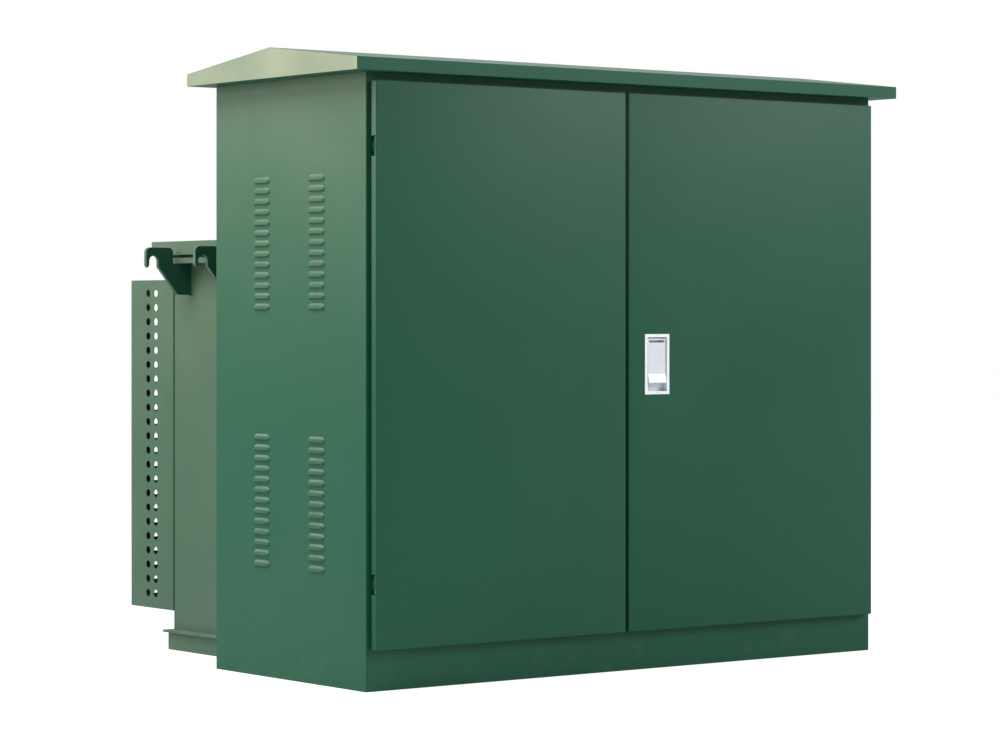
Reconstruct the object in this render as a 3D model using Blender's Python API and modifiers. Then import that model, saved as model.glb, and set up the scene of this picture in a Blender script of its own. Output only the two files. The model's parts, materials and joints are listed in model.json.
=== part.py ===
"""Pad-mounted distribution transformer, built as its separate pieces.

Metres, +Z up.  X runs along the cabinet's front, -Y faces the person who opens
the doors, and the origin lies on the pad under the middle of the whole unit.
"""
import math

import bmesh
import bpy
from mathutils import Matrix, Vector

# ------------------------------------------------------------- driving sizes
GAP = 0.0003                        # between pieces that touch
BITE = 0.001                        # how far joined shapes reach into each other
ROUND_SIDES = 12

# Cabinet
CABINET_WIDTH = 2.100
CABINET_DEPTH = 0.845
EAVE_HEIGHT = 1.888
SHEET = 0.003

FRAME_FACE = 0.042                  # width of a door post
FRAME_DEPTH = 0.045
SILL_HEIGHT = 0.150
HEADER_HEIGHT = 0.048
REAR_WINDOW_LAP = 0.020             # rear panel over the tank's front wall

# Roof
ROOF_FASCIA = 0.040
ROOF_RISE = 0.0565                  # ridge above the fascia
ROOF_SIDE_OVERHANG = 0.074
ROOF_FRONT_OVERHANG = 0.059
ROOF_REAR_OVERHANG = 0.062
ROOF_SEAT = 0.045                   # soffit inside the cabinet's walls

# Louvres in the side panels
LOUVRE_WIDTH = 0.092
LOUVRE_HEIGHT = 0.018
LOUVRE_PROUD = 0.009
LOUVRE_WALL = 0.0025
LOUVRE_SHOULDER = (2 / 3, 3 / 4)    # the hood's bend, as shares of its depth and height
LOUVRE_PITCH = 0.0334
LOUVRES_IN_GROUP = 13
LOUVRE_COLUMN_SPACING = 0.3085
LOUVRE_LOWEST = 0.351               # underside of the lowest louvre
LOUVRE_TOP_BELOW_EAVE = 0.3032      # eave to the top of the highest louvre

# Doors: two overlay pans
LEFT_DOOR_WIDTH = 0.983
DOOR_EDGE = 0.0155                  # cabinet corner to the door's outer edge
DOOR_PARTING = 0.0125               # between the two doors
DOOR_BOTTOM = 0.127
DOOR_TOP_CLEARANCE = 0.026          # door top to the eave
DOOR_THICKNESS = 0.025
DOOR_SKIN = 0.0025
DOOR_STANDOFF = 0.005               # frame to the back of the door

# Hinges: a pin inside each door's pan
HINGE_INSET = 0.010                 # door's edge to the pin
HINGE_PIN_RADIUS = 0.004
HINGE_CLEARANCE = 0.0003            # pin to its bore
HINGE_END_PLAY = 0.00075            # barrel to each knuckle
HINGE_BARREL_RADIUS = 0.0055
HINGE_KNUCKLE_RADIUS = 0.0065
HINGE_BARREL_HEIGHT = 0.030
HINGE_HEIGHT = 0.056
HINGE_LEAF_WIDTH = 0.035
HINGE_LEAF = 0.0035
HINGE_BRACKET = 0.004
HINGE_FOOT_WIDTH = 0.018
HINGE_NOTCH = 0.062                 # cut in the door's edge for the bracket
HINGE_END_DISTANCE = 0.200          # door's end to the hinge

# Flush paddle lock on the right door
LOCK_WIDTH = 0.102
LOCK_HEIGHT = 0.195
LOCK_RIM = 0.010
LOCK_PROUD = 0.003
LOCK_WALL = 0.002
LOCK_DEPTH = 0.023
LOCK_FROM_DOOR_EDGE = 0.1165        # free edge to the lock's middle
LOCK_MIDDLE_HEIGHT = 0.988
PADDLE_WIDTH = 0.0745
PADDLE_PLATE = 0.003
PADDLE_TOP_BELOW_PIN = 0.010
PADDLE_LENGTH = 0.101
PADDLE_LIP_DROP = 0.029
PADDLE_LIP_PROUD = 0.0065
PADDLE_PIN_RADIUS = 0.0028
PADDLE_PIN_BELOW_RIM = 0.0075       # recess top to the pin
PADDLE_EAR = 0.006

# Latch rods and bolts inside the doors
ROD_WIDTH = 0.018
ROD_THICKNESS = 0.006
ROD_LOCK_CLEARANCE = 0.018
KEEPER_WIDTH = 0.040
KEEPER_HEIGHT = 0.012
KEEPER_REACH = 0.022                # in front of the frame
KEEPER_SETBACK = 0.004              # inside the door's end wall
KEEPER_CLEARANCE = 0.0015           # rod's end to the keeper
BOLT_LENGTH = 0.120
BOLT_TRAVEL = 0.020
BOLT_FROM_DOOR_EDGE = 0.045

# Tank
TANK_WIDTH = 1.657
TANK_DEPTH = 0.615
TANK_WALL = 0.006
TANK_FLOOR_HEIGHT = 0.068
BASE_PLATE = 0.008
BASE_SIDE_OVERHANG = 0.031
BASE_REAR_OVERHANG = 0.028
TANK_HEIGHT = 1.341
RIM_THICKNESS = 0.019
RIM_OVERHANG = 0.058
RIM_REAR_OVERHANG = 0.006           # the cover overhangs the rear wall instead
COVER_GAP = 0.009                   # rim to cover, filled by the gasket
COVER_HEIGHT = 0.048
COVER_WALL = 0.005
COVER_SEAT = 0.045
COVER_FRONT_CLEARANCE = 0.002
GASKET_INSET = 0.012
GASKET_WIDTH = 0.030

# Lifting lugs
LUG_THICKNESS = 0.016
LUG_REACH = 0.180
LUG_BELOW_RIM = 0.106
LUG_ABOVE_RIM = 0.054               # above the rim's underside
LUG_HEEL = 0.056                    # width where the lower edge leaves the wall
LUG_COVER_CLEARANCE = 0.015
LUG_THROAT_RADIUS = 0.0175
LUG_TIP = 0.013
LUG_TIP_BELOW_RIM = 0.016
LUG_ROUNDING = 0.018
LUG_FROM_TANK_REAR = 0.102          # middle of the rear lug
LUG_SPACING = 0.310
LUG_ARC_STEPS = 5

# Base rails
RAIL_INSET = 0.016
RAIL_REAR_INSET = 0.010
RAIL_WIDTH = 0.080
RAIL_WALL = 0.008

# Fin bank and its perforated guards
FIN_COUNT = 26
FIN_THICKNESS = 0.008
FIN_DEPTH = 0.240
FIN_BANK_HALF_WIDTH = 0.704
FIN_BOTTOM = 0.160
FIN_TOP = 1.240
FIN_HEADER = 0.004
GUARD_REACH = 0.290                 # behind the tank's rear wall
GUARD_STANDOFF = 0.009
GUARD_BOTTOM = 0.132
GUARD_TOP = 1.268
GUARD_SHEET = 0.0025
GUARD_RETURN = 0.025
GUARD_REAR_LEG = 0.200
GUARD_HOLE_RADIUS = 0.013
GUARD_HOLE_SIDES = 6
GUARD_HOLE_ROWS = 22
GUARD_HOLE_PITCH = 0.0495
GUARD_HOLE_LOWEST = 0.183
GUARD_HOLE_COLUMN_SPACING = 0.049
GUARD_SIDE_COLUMN = 0.1156          # rear face to the rearmost side column
GUARD_REAR_COLUMN = 0.100           # side face to the first rear column
GUARD_SPACER = 0.015

# Core and windings
LIMB_SIZE = 0.150
LIMB_SPACING = 0.440
WINDOW_HEIGHT = 0.640
WINDING_OUTER_RADIUS = 0.200
WINDING_INNER_RADIUS = 0.120
WINDING_HEIGHT = 0.600
WINDING_SIDES = 20

# Terminals and fittings on the tank's front wall
SHAFT_CLEARANCE = 0.0003
TURNING_CLEARANCE = 0.001           # round a shaft that turns in the tank's wall
HV_BUSHING_X = (-0.690, -0.520, -0.350)
HV_BUSHING_HEIGHT = 0.900
HV_STEM_RADIUS = 0.018
HV_FLANGE_RADIUS = 0.055
HV_BODY_RADIUS = 0.040
HV_LENGTH = 0.180
HV_FLANGE = 0.015
HV_WAIST_RADIUS = 0.034
HV_COLLAR_RADIUS = 0.044
HV_COLLAR = (0.55, 0.80)            # its start and end, as shares of the length
HV_EYE_RADII = (0.020, 0.016)
HV_EYE_START = 0.95                 # share of the length
LV_BUSHING_X = (0.200, 0.350, 0.500, 0.650)
LV_BUSHING_HEIGHT = 0.880
LV_STEM_RADIUS = 0.020
LV_FLANGE_RADIUS = 0.050
LV_BODY_RADIUS = 0.038
LV_LENGTH = 0.075
LV_FLANGE = 0.012
LV_SHOULDER_RADIUS = 0.030
LV_STUD = 0.016                     # its radius, and its length past the insulator
SPADE_LENGTH = 0.130
SPADE_HEIGHT = 0.080
SPADE_THICKNESS = 0.012
SPADE_HOLE_RADIUS = 0.007
SPADE_HOLE_SPACING = 0.045
SPADE_HOLE_SIDES = 8
FUSE_X = (-0.660, -0.520, -0.380)
FUSE_HEIGHT = 1.190
FUSE_TUBE_RADIUS = 0.016
FUSE_TUBE_INSIDE = 0.270
FUSE_CAP_RADIUS = 0.026
FUSE_CAP_LENGTH = 0.055
FUSE_NECK = 0.012
SWITCH_X = -0.210
SWITCH_HEIGHT = 1.160
SWITCH_HUB_RADIUS = 0.032
SWITCH_LEVER_LENGTH = 0.120
TAP_X = -0.210
TAP_HEIGHT = 0.920
TAP_HUB_RADIUS = 0.026
TAP_LEVER_LENGTH = 0.050
SHAFT_RADIUS = 0.010
SHAFT_INSIDE = 0.040
HUB_LENGTH = 0.030
LEVER_WIDTH = 0.022
LEVER_THICKNESS = 0.010
GAUGE_X = 0.130
THERMOMETER_X = 0.290
RELIEF_X = 0.450
GAUGE_HEIGHT = 1.180
GAUGE_RADIUS = 0.048
GAUGE_LENGTH = 0.050
GAUGE_SIDES = 16
GAUGE_PLATE = 0.004
RELIEF_RADIUS = 0.022
RELIEF_LENGTH = 0.065
RELIEF_BODY_RADIUS = 0.0155
RELIEF_TIP_RADIUS = 0.009
RELIEF_STEPS = (1 / 3, 0.8)         # body's start and end, as shares of the length
DRAIN_X = 0.110
DRAIN_HEIGHT = 0.230
DRAIN_PIPE_RADIUS = 0.016
DRAIN_BODY_RADIUS = 0.030
DRAIN_REACH = 0.080                 # tank wall to the valve's middle
DRAIN_BONNET_RADIUS = 0.018
DRAIN_BONNET_TOP = 0.055
DRAIN_STEM_RADIUS = 0.005
DRAIN_STEM_DEPTH = 0.025
WHEEL_RADIUS = 0.040
WHEEL_RIM_RADIUS = 0.005
WHEEL_RIM_SIDES = 6
WHEEL_SPOKE_RADIUS = 0.003
WHEEL_LIFT = 0.014                  # bonnet to the wheel's middle
GROUND_BAR_X = (0.240, 0.720)
GROUND_BAR_HEIGHT = 0.250
GROUND_BAR_WIDTH = 0.050
GROUND_BAR_THICKNESS = 0.008
GROUND_BAR_STANDOFF = 0.030
GROUND_BAR_HOLE_RADIUS = 0.007
GROUND_BAR_HOLES = 6

# ------------------------------------------------- places that follow from them
FRONT = (ROOF_FRONT_OVERHANG - CABINET_DEPTH - TANK_DEPTH - GUARD_REACH) / 2
REAR = FRONT + CABINET_DEPTH        # also the tank's front wall
TANK_REAR = REAR + TANK_DEPTH
GUARD_REAR = TANK_REAR + GUARD_REACH
HALF_WIDTH = CABINET_WIDTH / 2
INNER_HALF_WIDTH = HALF_WIDTH - SHEET - GAP
HALF_TANK = TANK_WIDTH / 2
WALL_TOP = EAVE_HEIGHT - GAP
HEADER_BOTTOM = WALL_TOP - HEADER_HEIGHT
DOOR_TOP = EAVE_HEIGHT - DOOR_TOP_CLEARANCE
DOOR_BACK = FRONT - DOOR_STANDOFF
DOOR_FACE = DOOR_BACK - DOOR_THICKNESS
PAN_FLOOR = DOOR_FACE + DOOR_SKIN
LEFT_DOOR = (DOOR_EDGE - HALF_WIDTH, DOOR_EDGE - HALF_WIDTH + LEFT_DOOR_WIDTH)
RIGHT_DOOR = (LEFT_DOOR[1] + DOOR_PARTING, HALF_WIDTH - DOOR_EDGE)
PARTING_X = (LEFT_DOOR[1] + RIGHT_DOOR[0]) / 2
HINGE_Y = (DOOR_FACE + DOOR_BACK) / 2
HINGE_Z = {"lower": DOOR_BOTTOM + HINGE_END_DISTANCE, "upper": DOOR_TOP - HINGE_END_DISTANCE}
LOCK_X = RIGHT_DOOR[0] + LOCK_FROM_DOOR_EDGE
LOCK_FRONT = DOOR_FACE - LOCK_PROUD
PADDLE_PIN_Z = LOCK_MIDDLE_HEIGHT + LOCK_HEIGHT / 2 - LOCK_RIM - PADDLE_PIN_BELOW_RIM
PADDLE_PIN_Y = DOOR_FACE + PADDLE_PLATE
ROD_Y = (PAN_FLOOR + DOOR_BACK) / 2
RIM_UNDERSIDE = TANK_HEIGHT - RIM_THICKNESS
COVER_BOTTOM = TANK_HEIGHT + COVER_GAP
TANK_MIDDLE = (REAR + TANK_REAR) / 2

# ------------------------------------------------------------------ materials
PALETTE = {                         # colour, roughness, metallic
    "cabinet_paint": ((0.030, 0.105, 0.064), 0.45, 0.0),
    "tank_paint": ((0.045, 0.110, 0.070), 0.50, 0.0),
    "lock_metal": ((0.720, 0.740, 0.770), 0.35, 0.6),
    "plated_steel": ((0.560, 0.560, 0.540), 0.40, 1.0),
    "rubber": ((0.020, 0.020, 0.020), 0.80, 0.0),
    "bushing_resin": ((0.250, 0.060, 0.035), 0.35, 0.0),
    "black_moulding": ((0.025, 0.025, 0.028), 0.45, 0.0),
    "tinned_copper": ((0.620, 0.540, 0.470), 0.35, 1.0),
    "bare_copper": ((0.600, 0.260, 0.130), 0.35, 1.0),
    "brass": ((0.620, 0.450, 0.170), 0.35, 1.0),
    "core_steel": ((0.190, 0.190, 0.200), 0.55, 0.9),
    "winding_paper": ((0.420, 0.280, 0.140), 0.75, 0.0),
    "red_moulding": ((0.450, 0.030, 0.020), 0.45, 0.0),
}


def make_material(slot):
    """A Principled material for one slot of the palette."""
    colour, roughness, metallic = PALETTE[slot]
    material = bpy.data.materials.get(slot)
    if material is None:
        material = bpy.data.materials.new(slot)
        material.use_nodes = True
        shader = material.node_tree.nodes["Principled BSDF"]
        shader.inputs["Base Color"].default_value = (*colour, 1.0)
        shader.inputs["Roughness"].default_value = roughness
        shader.inputs["Metallic"].default_value = metallic
    return material


# ------------------------------------------------------------- modelling tools
def make_collection(name):
    collection = bpy.data.collections.new(name)
    bpy.context.scene.collection.children.link(collection)
    return collection


def add_object(name, mesh, location=(0, 0, 0)):
    """An object in the parts collection, until it is used as a tool."""
    thing = bpy.data.objects.new(name, mesh)
    thing.location = location
    PARTS.objects.link(thing)
    return thing


def finish_part(thing, slot, smooth=False):
    """Gives a finished piece its material and shading."""
    thing.data.materials.clear()
    thing.data.materials.append(make_material(slot))
    if smooth:
        thing.data.shade_smooth()
        thing.data.set_sharp_from_angle(angle=math.radians(35))
    return thing


def as_tool(thing):
    """Puts a shape among the cutters, out of the finished model."""
    PARTS.objects.unlink(thing)
    CUTTERS.objects.link(thing)
    thing.hide_render = True
    thing.display_type = "WIRE"
    return thing


def combine(target, tool, operation):
    if tool.name not in CUTTERS.objects:
        as_tool(tool)
    boolean = target.modifiers.new(tool.name, "BOOLEAN")
    boolean.operation = operation
    boolean.solver = "EXACT"
    boolean.object = tool
    return target


def join(target, *tools):
    for tool in tools:
        combine(target, tool, "UNION")
    return target


def cut(target, *tools):
    for tool in tools:
        combine(target, tool, "DIFFERENCE")
    return target


def block(name, x, y, z):
    """A rectangular block; x, y and z are each a (low, high) pair."""
    low, high = Vector((x[0], y[0], z[0])), Vector((x[1], y[1], z[1]))
    builder = bmesh.new()
    bmesh.ops.create_cube(builder, size=1, matrix=Matrix.Diagonal((*(high - low), 1)))
    mesh = bpy.data.meshes.new(name)
    builder.to_mesh(mesh)
    builder.free()
    return add_object(name, mesh, (low + high) / 2)


def rod(name, start, end, radius, sides=ROUND_SIDES):
    """A round bar between two points."""
    start, end = Vector(start), Vector(end)
    along = end - start
    builder = bmesh.new()
    bmesh.ops.create_cone(builder, cap_ends=True, segments=sides, radius1=radius,
                          radius2=radius, depth=along.length)
    mesh = bpy.data.meshes.new(name)
    builder.to_mesh(mesh)
    builder.free()
    thing = add_object(name, mesh, (start + end) / 2)
    thing.rotation_mode = "QUATERNION"
    thing.rotation_quaternion = along.to_track_quat("Z", "Y")
    return thing


PRISM_TURNS = {                     # where the outline's own axes go
    "X": Matrix(((0, 0, 1), (1, 0, 0), (0, 1, 0))),
    "Y": Matrix(((1, 0, 0), (0, 0, -1), (0, 1, 0))),
    "Z": Matrix.Identity(3),
}


def prism(name, outline, axis, start, end):
    """A flat outline pushed along one axis.

    The outline's pairs are (y, z) for axis X, (x, z) for Y and (x, y) for Z.
    """
    curve = bpy.data.curves.new(name, "CURVE")
    curve.dimensions = "2D"
    curve.fill_mode = "BOTH"
    curve.extrude = (end - start) / 2
    spline = curve.splines.new("POLY")
    spline.points.add(len(outline) - 1)
    for point, (across, up) in zip(spline.points, outline):
        point.co = (across, up, 0, 1)
    spline.use_cyclic_u = True
    guide = add_object(name, curve)
    graph = bpy.context.evaluated_depsgraph_get()
    mesh = bpy.data.meshes.new_from_object(guide.evaluated_get(graph))
    bpy.data.objects.remove(guide)
    bpy.data.curves.remove(curve)
    builder = bmesh.new()
    builder.from_mesh(mesh)
    bmesh.ops.remove_doubles(builder, verts=builder.verts, dist=0.00001)
    bmesh.ops.transform(builder, matrix=PRISM_TURNS[axis].to_4x4(), verts=builder.verts)
    builder.to_mesh(mesh)
    builder.free()
    middle = (start + end) / 2
    place = {"X": (middle, 0, 0), "Y": (0, middle, 0), "Z": (0, 0, middle)}[axis]
    return add_object(name, mesh, place)


def turned(name, profile, origin, facing, sides=ROUND_SIDES):
    """A turned shape; profile pairs are (radius, distance along facing)."""
    mesh = bpy.data.meshes.new(name)
    points = [(radius, 0, along) for radius, along in reversed(profile)]
    mesh.from_pydata(points, [(i, i + 1) for i in range(len(points) - 1)], [])
    thing = add_object(name, mesh, origin)
    thing.rotation_mode = "QUATERNION"
    thing.rotation_quaternion = Vector(facing).to_track_quat("Z", "Y")
    screw = thing.modifiers.new("turn", "SCREW")
    screw.steps = screw.render_steps = sides
    screw.use_merge_vertices = True
    screw.merge_threshold = 0.00001
    screw.use_smooth_shade = True
    return thing


def repeat(thing, count, step):
    array = thing.modifiers.new("repeat", "ARRAY")
    array.count = count
    array.use_relative_offset = False
    array.use_constant_offset = True
    array.constant_offset_displace = step
    return thing


def arc(centre, radius, start, end, steps=LUG_ARC_STEPS):
    """Points on an arc, with its angles in degrees."""
    angles = [math.radians(start + (end - start) * i / steps) for i in range(steps + 1)]
    return [(centre[0] + radius * math.cos(a), centre[1] + radius * math.sin(a)) for a in angles]


def turn_about(thing, x, y, z):
    """Moves an object's origin onto its joint's axis, its shape staying put."""
    graph = bpy.context.evaluated_depsgraph_get()
    mesh = bpy.data.meshes.new_from_object(thing.evaluated_get(graph))
    mesh.transform(Matrix.Translation((-x, -y, -z)) @ thing.matrix_world)
    thing.modifiers.clear()
    thing.data = mesh
    thing.rotation_mode = "XYZ"
    thing.matrix_world = Matrix.Translation((x, y, z))
    return thing


# -------------------------------------------------------------------- cabinet
def louvre_set(name, side, outline, half_width):
    """All the louvres of one side panel; side is -1 on the left, 1 on the right."""
    placed = [(side * (HALF_WIDTH + out), LOUVRE_LOWEST + up) for out, up in outline]
    first = (FRONT + REAR - LOUVRE_COLUMN_SPACING) / 2
    louvres = prism(name, placed, "Y", first - half_width, first + half_width)
    repeat(louvres, LOUVRES_IN_GROUP, (0, 0, LOUVRE_PITCH))
    repeat(louvres, 2, (0, LOUVRE_COLUMN_SPACING, 0))
    highest = EAVE_HEIGHT - LOUVRE_TOP_BELOW_EAVE - LOUVRE_HEIGHT
    repeat(louvres, 2, (0, 0, highest - LOUVRE_LOWEST - (LOUVRES_IN_GROUP - 1) * LOUVRE_PITCH))
    return louvres


def make_side_panel(name, side):
    outer, inner = side * HALF_WIDTH, side * (HALF_WIDTH - SHEET)
    panel = block(name, sorted((outer, inner)), (FRONT, REAR), (0, WALL_TOP))
    bend_out, bend_up = LOUVRE_PROUD * LOUVRE_SHOULDER[0], LOUVRE_HEIGHT * LOUVRE_SHOULDER[1]
    hood = [(-BITE, 0), (LOUVRE_PROUD, 0), (bend_out, bend_up), (-BITE, LOUVRE_HEIGHT)]
    slot = [(-SHEET - BITE, -LOUVRE_WALL), (LOUVRE_PROUD - LOUVRE_WALL, -LOUVRE_WALL),
            (bend_out - LOUVRE_WALL, bend_up - LOUVRE_WALL),
            (-SHEET - BITE, LOUVRE_HEIGHT - LOUVRE_WALL)]
    join(panel, louvre_set(name + "_hoods", side, hood, LOUVRE_WIDTH / 2))
    cut(panel, louvre_set(name + "_slots", side, slot, LOUVRE_WIDTH / 2 - LOUVRE_WALL))
    finish_part(panel, "cabinet_paint")


def channel(front, back, low, high):
    """Outline of a channel with its web at the front and its flanges behind."""
    return [(front, low), (back, low), (back, low + SHEET), (front + SHEET, low + SHEET),
            (front + SHEET, high - SHEET), (back, high - SHEET), (back, high), (front, high)]


def make_keeper(name, low):
    """The block on the frame that a latch rod's end meets."""
    keeper = block(name, (LOCK_X - KEEPER_WIDTH / 2, LOCK_X + KEEPER_WIDTH / 2),
                   (FRONT - KEEPER_REACH, FRONT - GAP), (low, low + KEEPER_HEIGHT))
    finish_part(keeper, "plated_steel")


def lower_keeper_bottom():
    return DOOR_BOTTOM + DOOR_SKIN + KEEPER_SETBACK


def upper_keeper_bottom():
    return DOOR_TOP - DOOR_SKIN - KEEPER_SETBACK - KEEPER_HEIGHT


def make_door_frame():
    span = (-INNER_HALF_WIDTH, INNER_HALF_WIDTH)
    sill = prism("front_sill", channel(FRONT, FRONT + FRAME_DEPTH, 0, SILL_HEIGHT), "X", *span)
    finish_part(sill, "cabinet_paint")
    header = prism("front_header",
                   channel(FRONT, FRONT + FRAME_DEPTH, HEADER_BOTTOM, WALL_TOP), "X", *span)
    finish_part(header, "cabinet_paint")
    make_keeper("lower_keeper", lower_keeper_bottom())
    make_keeper("upper_keeper", upper_keeper_bottom())
    for name, side in (("left_door_post", -1), ("right_door_post", 1)):
        outer = side * INNER_HALF_WIDTH
        inner = outer - side * FRAME_FACE
        wall = -side * SHEET
        outline = [(outer, FRONT), (inner, FRONT), (inner, FRONT + FRAME_DEPTH),
                   (inner - wall, FRONT + FRAME_DEPTH), (inner - wall, FRONT + SHEET),
                   (outer + wall, FRONT + SHEET), (outer + wall, FRONT + FRAME_DEPTH),
                   (outer, FRONT + FRAME_DEPTH)]
        post = prism(name, outline, "Z", SILL_HEIGHT + GAP, HEADER_BOTTOM - GAP)
        finish_part(post, "cabinet_paint")


def make_rear_panel():
    sheet = (REAR - SHEET, REAR - GAP)
    panel = block("rear_panel", (-INNER_HALF_WIDTH, INNER_HALF_WIDTH), sheet, (0, WALL_TOP))
    half_window = HALF_TANK - REAR_WINDOW_LAP
    window = block("rear_window", (-half_window, half_window), (sheet[0] - BITE, sheet[1] + BITE),
                   (TANK_FLOOR_HEIGHT + REAR_WINDOW_LAP, RIM_UNDERSIDE - REAR_WINDOW_LAP))
    finish_part(cut(panel, window), "cabinet_paint")


def make_barrier():
    """The steel wall between the high and the low voltage compartments."""
    back = REAR - SHEET - GAP
    flange = FRAME_DEPTH / 2
    front = FRONT + GAP
    outline = [(-flange, front), (flange, front), (flange, front + SHEET),
               (SHEET / 2, front + SHEET), (SHEET / 2, back), (-SHEET / 2, back),
               (-SHEET / 2, front + SHEET), (-flange, front + SHEET)]
    placed = [(PARTING_X + across, along) for across, along in outline]
    barrier = prism("compartment_barrier", placed, "Z", SILL_HEIGHT + GAP, HEADER_BOTTOM - GAP)
    finish_part(barrier, "plated_steel")


def gable(inset):
    """The roof's section, drawn in by a wall's thickness."""
    front, rear = FRONT - ROOF_FRONT_OVERHANG + inset, REAR + ROOF_REAR_OVERHANG - inset
    shoulder = EAVE_HEIGHT + ROOF_FASCIA - inset
    ridge = EAVE_HEIGHT + ROOF_FASCIA + ROOF_RISE - inset
    low = EAVE_HEIGHT + inset
    return [(front, low), (rear, low), (rear, shoulder), ((FRONT + REAR) / 2, ridge),
            (front, shoulder)]


def make_roof():
    half = HALF_WIDTH + ROOF_SIDE_OVERHANG
    roof = prism("roof", gable(0), "X", -half, half)
    hollow = prism("roof_hollow", gable(SHEET), "X", SHEET - half, half - SHEET)
    seat = HALF_WIDTH - ROOF_SEAT
    mouth = block("roof_mouth", (-seat, seat), (FRONT + ROOF_SEAT, REAR - ROOF_SEAT),
                  (EAVE_HEIGHT - BITE, EAVE_HEIGHT + SHEET + BITE))
    finish_part(cut(roof, hollow, mouth), "cabinet_paint")


# ---------------------------------------------------------- doors and hinges
def make_door(name, span, hinge_side):
    """An open-backed pan, notched at its hinges; returns it for more cuts."""
    door = block(name, span, (DOOR_FACE, DOOR_BACK), (DOOR_BOTTOM, DOOR_TOP))
    pan = block(name + "_pan", (span[0] + DOOR_SKIN, span[1] - DOOR_SKIN),
                (PAN_FLOOR, DOOR_BACK + BITE), (DOOR_BOTTOM + DOOR_SKIN, DOOR_TOP - DOOR_SKIN))
    cut(door, pan)
    edge = span[0] if hinge_side < 0 else span[1]
    for level, height in HINGE_Z.items():
        notch = block(f"{name}_{level}_notch", (edge - 2 * DOOR_SKIN, edge + 2 * DOOR_SKIN),
                      (PAN_FLOOR, DOOR_BACK + BITE),
                      (height - HINGE_NOTCH / 2, height + HINGE_NOTCH / 2))
        cut(door, notch)
    return door


def make_doors():
    left = make_door("left_door", LEFT_DOOR, -1)
    left = turn_about(left, LEFT_DOOR[0] + HINGE_INSET, HINGE_Y, DOOR_BOTTOM)
    finish_part(left, "cabinet_paint")
    right = make_door("right_door", RIGHT_DOOR, 1)
    half_width, half_height = lock_body_half_sizes()
    opening = block("lock_opening", (LOCK_X - half_width - GAP, LOCK_X + half_width + GAP),
                    (DOOR_FACE - BITE, PAN_FLOOR + BITE),
                    (LOCK_MIDDLE_HEIGHT - half_height - GAP, LOCK_MIDDLE_HEIGHT + half_height + GAP))
    cut(right, opening)
    right = turn_about(right, RIGHT_DOOR[1] - HINGE_INSET, HINGE_Y, DOOR_BOTTOM)
    finish_part(right, "cabinet_paint")


def make_hinge(name, x, z, inward):
    """A frame leaf with the pin, and a door leaf; inward points along the door."""
    half_barrel, half_hinge = HINGE_BARREL_HEIGHT / 2, HINGE_HEIGHT / 2
    frame_leaf = rod(name + "_frame_leaf", (x, HINGE_Y, z - half_barrel),
                     (x, HINGE_Y, z + half_barrel), HINGE_BARREL_RADIUS)
    pin = rod(name + "_pin", (x, HINGE_Y, z - half_hinge + BITE),
              (x, HINGE_Y, z + half_hinge - BITE), HINGE_PIN_RADIUS)
    foot_back = FRONT - GAP
    foot_front = foot_back - SHEET
    bracket = block(name + "_bracket", (x - HINGE_BRACKET / 2, x + HINGE_BRACKET / 2),
                    (HINGE_Y, foot_back - BITE), (z - half_barrel, z + half_barrel))
    foot = block(name + "_foot",
                 sorted((x - inward * HINGE_BRACKET / 2, x + inward * HINGE_FOOT_WIDTH)),
                 (foot_front, foot_back), (z - half_barrel, z + half_barrel))
    join(frame_leaf, pin, bracket, foot)
    finish_part(turn_about(frame_leaf, x, HINGE_Y, z), "cabinet_paint", smooth=True)

    plate_back = PAN_FLOOR + GAP + HINGE_LEAF
    door_leaf = block(name + "_door_leaf", sorted((x, x + inward * HINGE_LEAF_WIDTH)),
                      (PAN_FLOOR + GAP, plate_back), (z - half_hinge, z + half_hinge))
    knuckle = rod(name + "_knuckle", (x, HINGE_Y, z - half_hinge), (x, HINGE_Y, z + half_hinge),
                  HINGE_KNUCKLE_RADIUS)
    barrel_room = rod(name + "_barrel_room", (x, HINGE_Y, z - half_barrel - HINGE_END_PLAY),
                      (x, HINGE_Y, z + half_barrel + HINGE_END_PLAY),
                      HINGE_KNUCKLE_RADIUS + SHEET)
    web = block(name + "_web", (x - HINGE_BARREL_RADIUS, x + HINGE_BARREL_RADIUS),
                (plate_back - HINGE_LEAF / 2, HINGE_Y), (z - half_hinge, z + half_hinge))
    join(knuckle, web)
    cut(knuckle, barrel_room)
    join(door_leaf, knuckle)
    bore = rod(name + "_bore", (x, HINGE_Y, z - half_hinge - BITE),
               (x, HINGE_Y, z + half_hinge + BITE), HINGE_PIN_RADIUS + HINGE_CLEARANCE)
    cut(door_leaf, bore)
    finish_part(turn_about(door_leaf, x, HINGE_Y, z), "cabinet_paint", smooth=True)


def make_hinges():
    for level, height in HINGE_Z.items():
        make_hinge(f"left_{level}_hinge", LEFT_DOOR[0] + HINGE_INSET, height, 1)
        make_hinge(f"right_{level}_hinge", RIGHT_DOOR[1] - HINGE_INSET, height, -1)


# ------------------------------------------------------------- lock and rods
def lock_body_half_sizes():
    """Half the width and height of the lock's body, behind its rim."""
    return (LOCK_WIDTH / 2 - LOCK_RIM + LOCK_WALL, LOCK_HEIGHT / 2 - LOCK_RIM + LOCK_WALL)


def lock_block(name, half_width, half_height, y):
    return block(name, (LOCK_X - half_width, LOCK_X + half_width), y,
                 (LOCK_MIDDLE_HEIGHT - half_height, LOCK_MIDDLE_HEIGHT + half_height))


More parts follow.
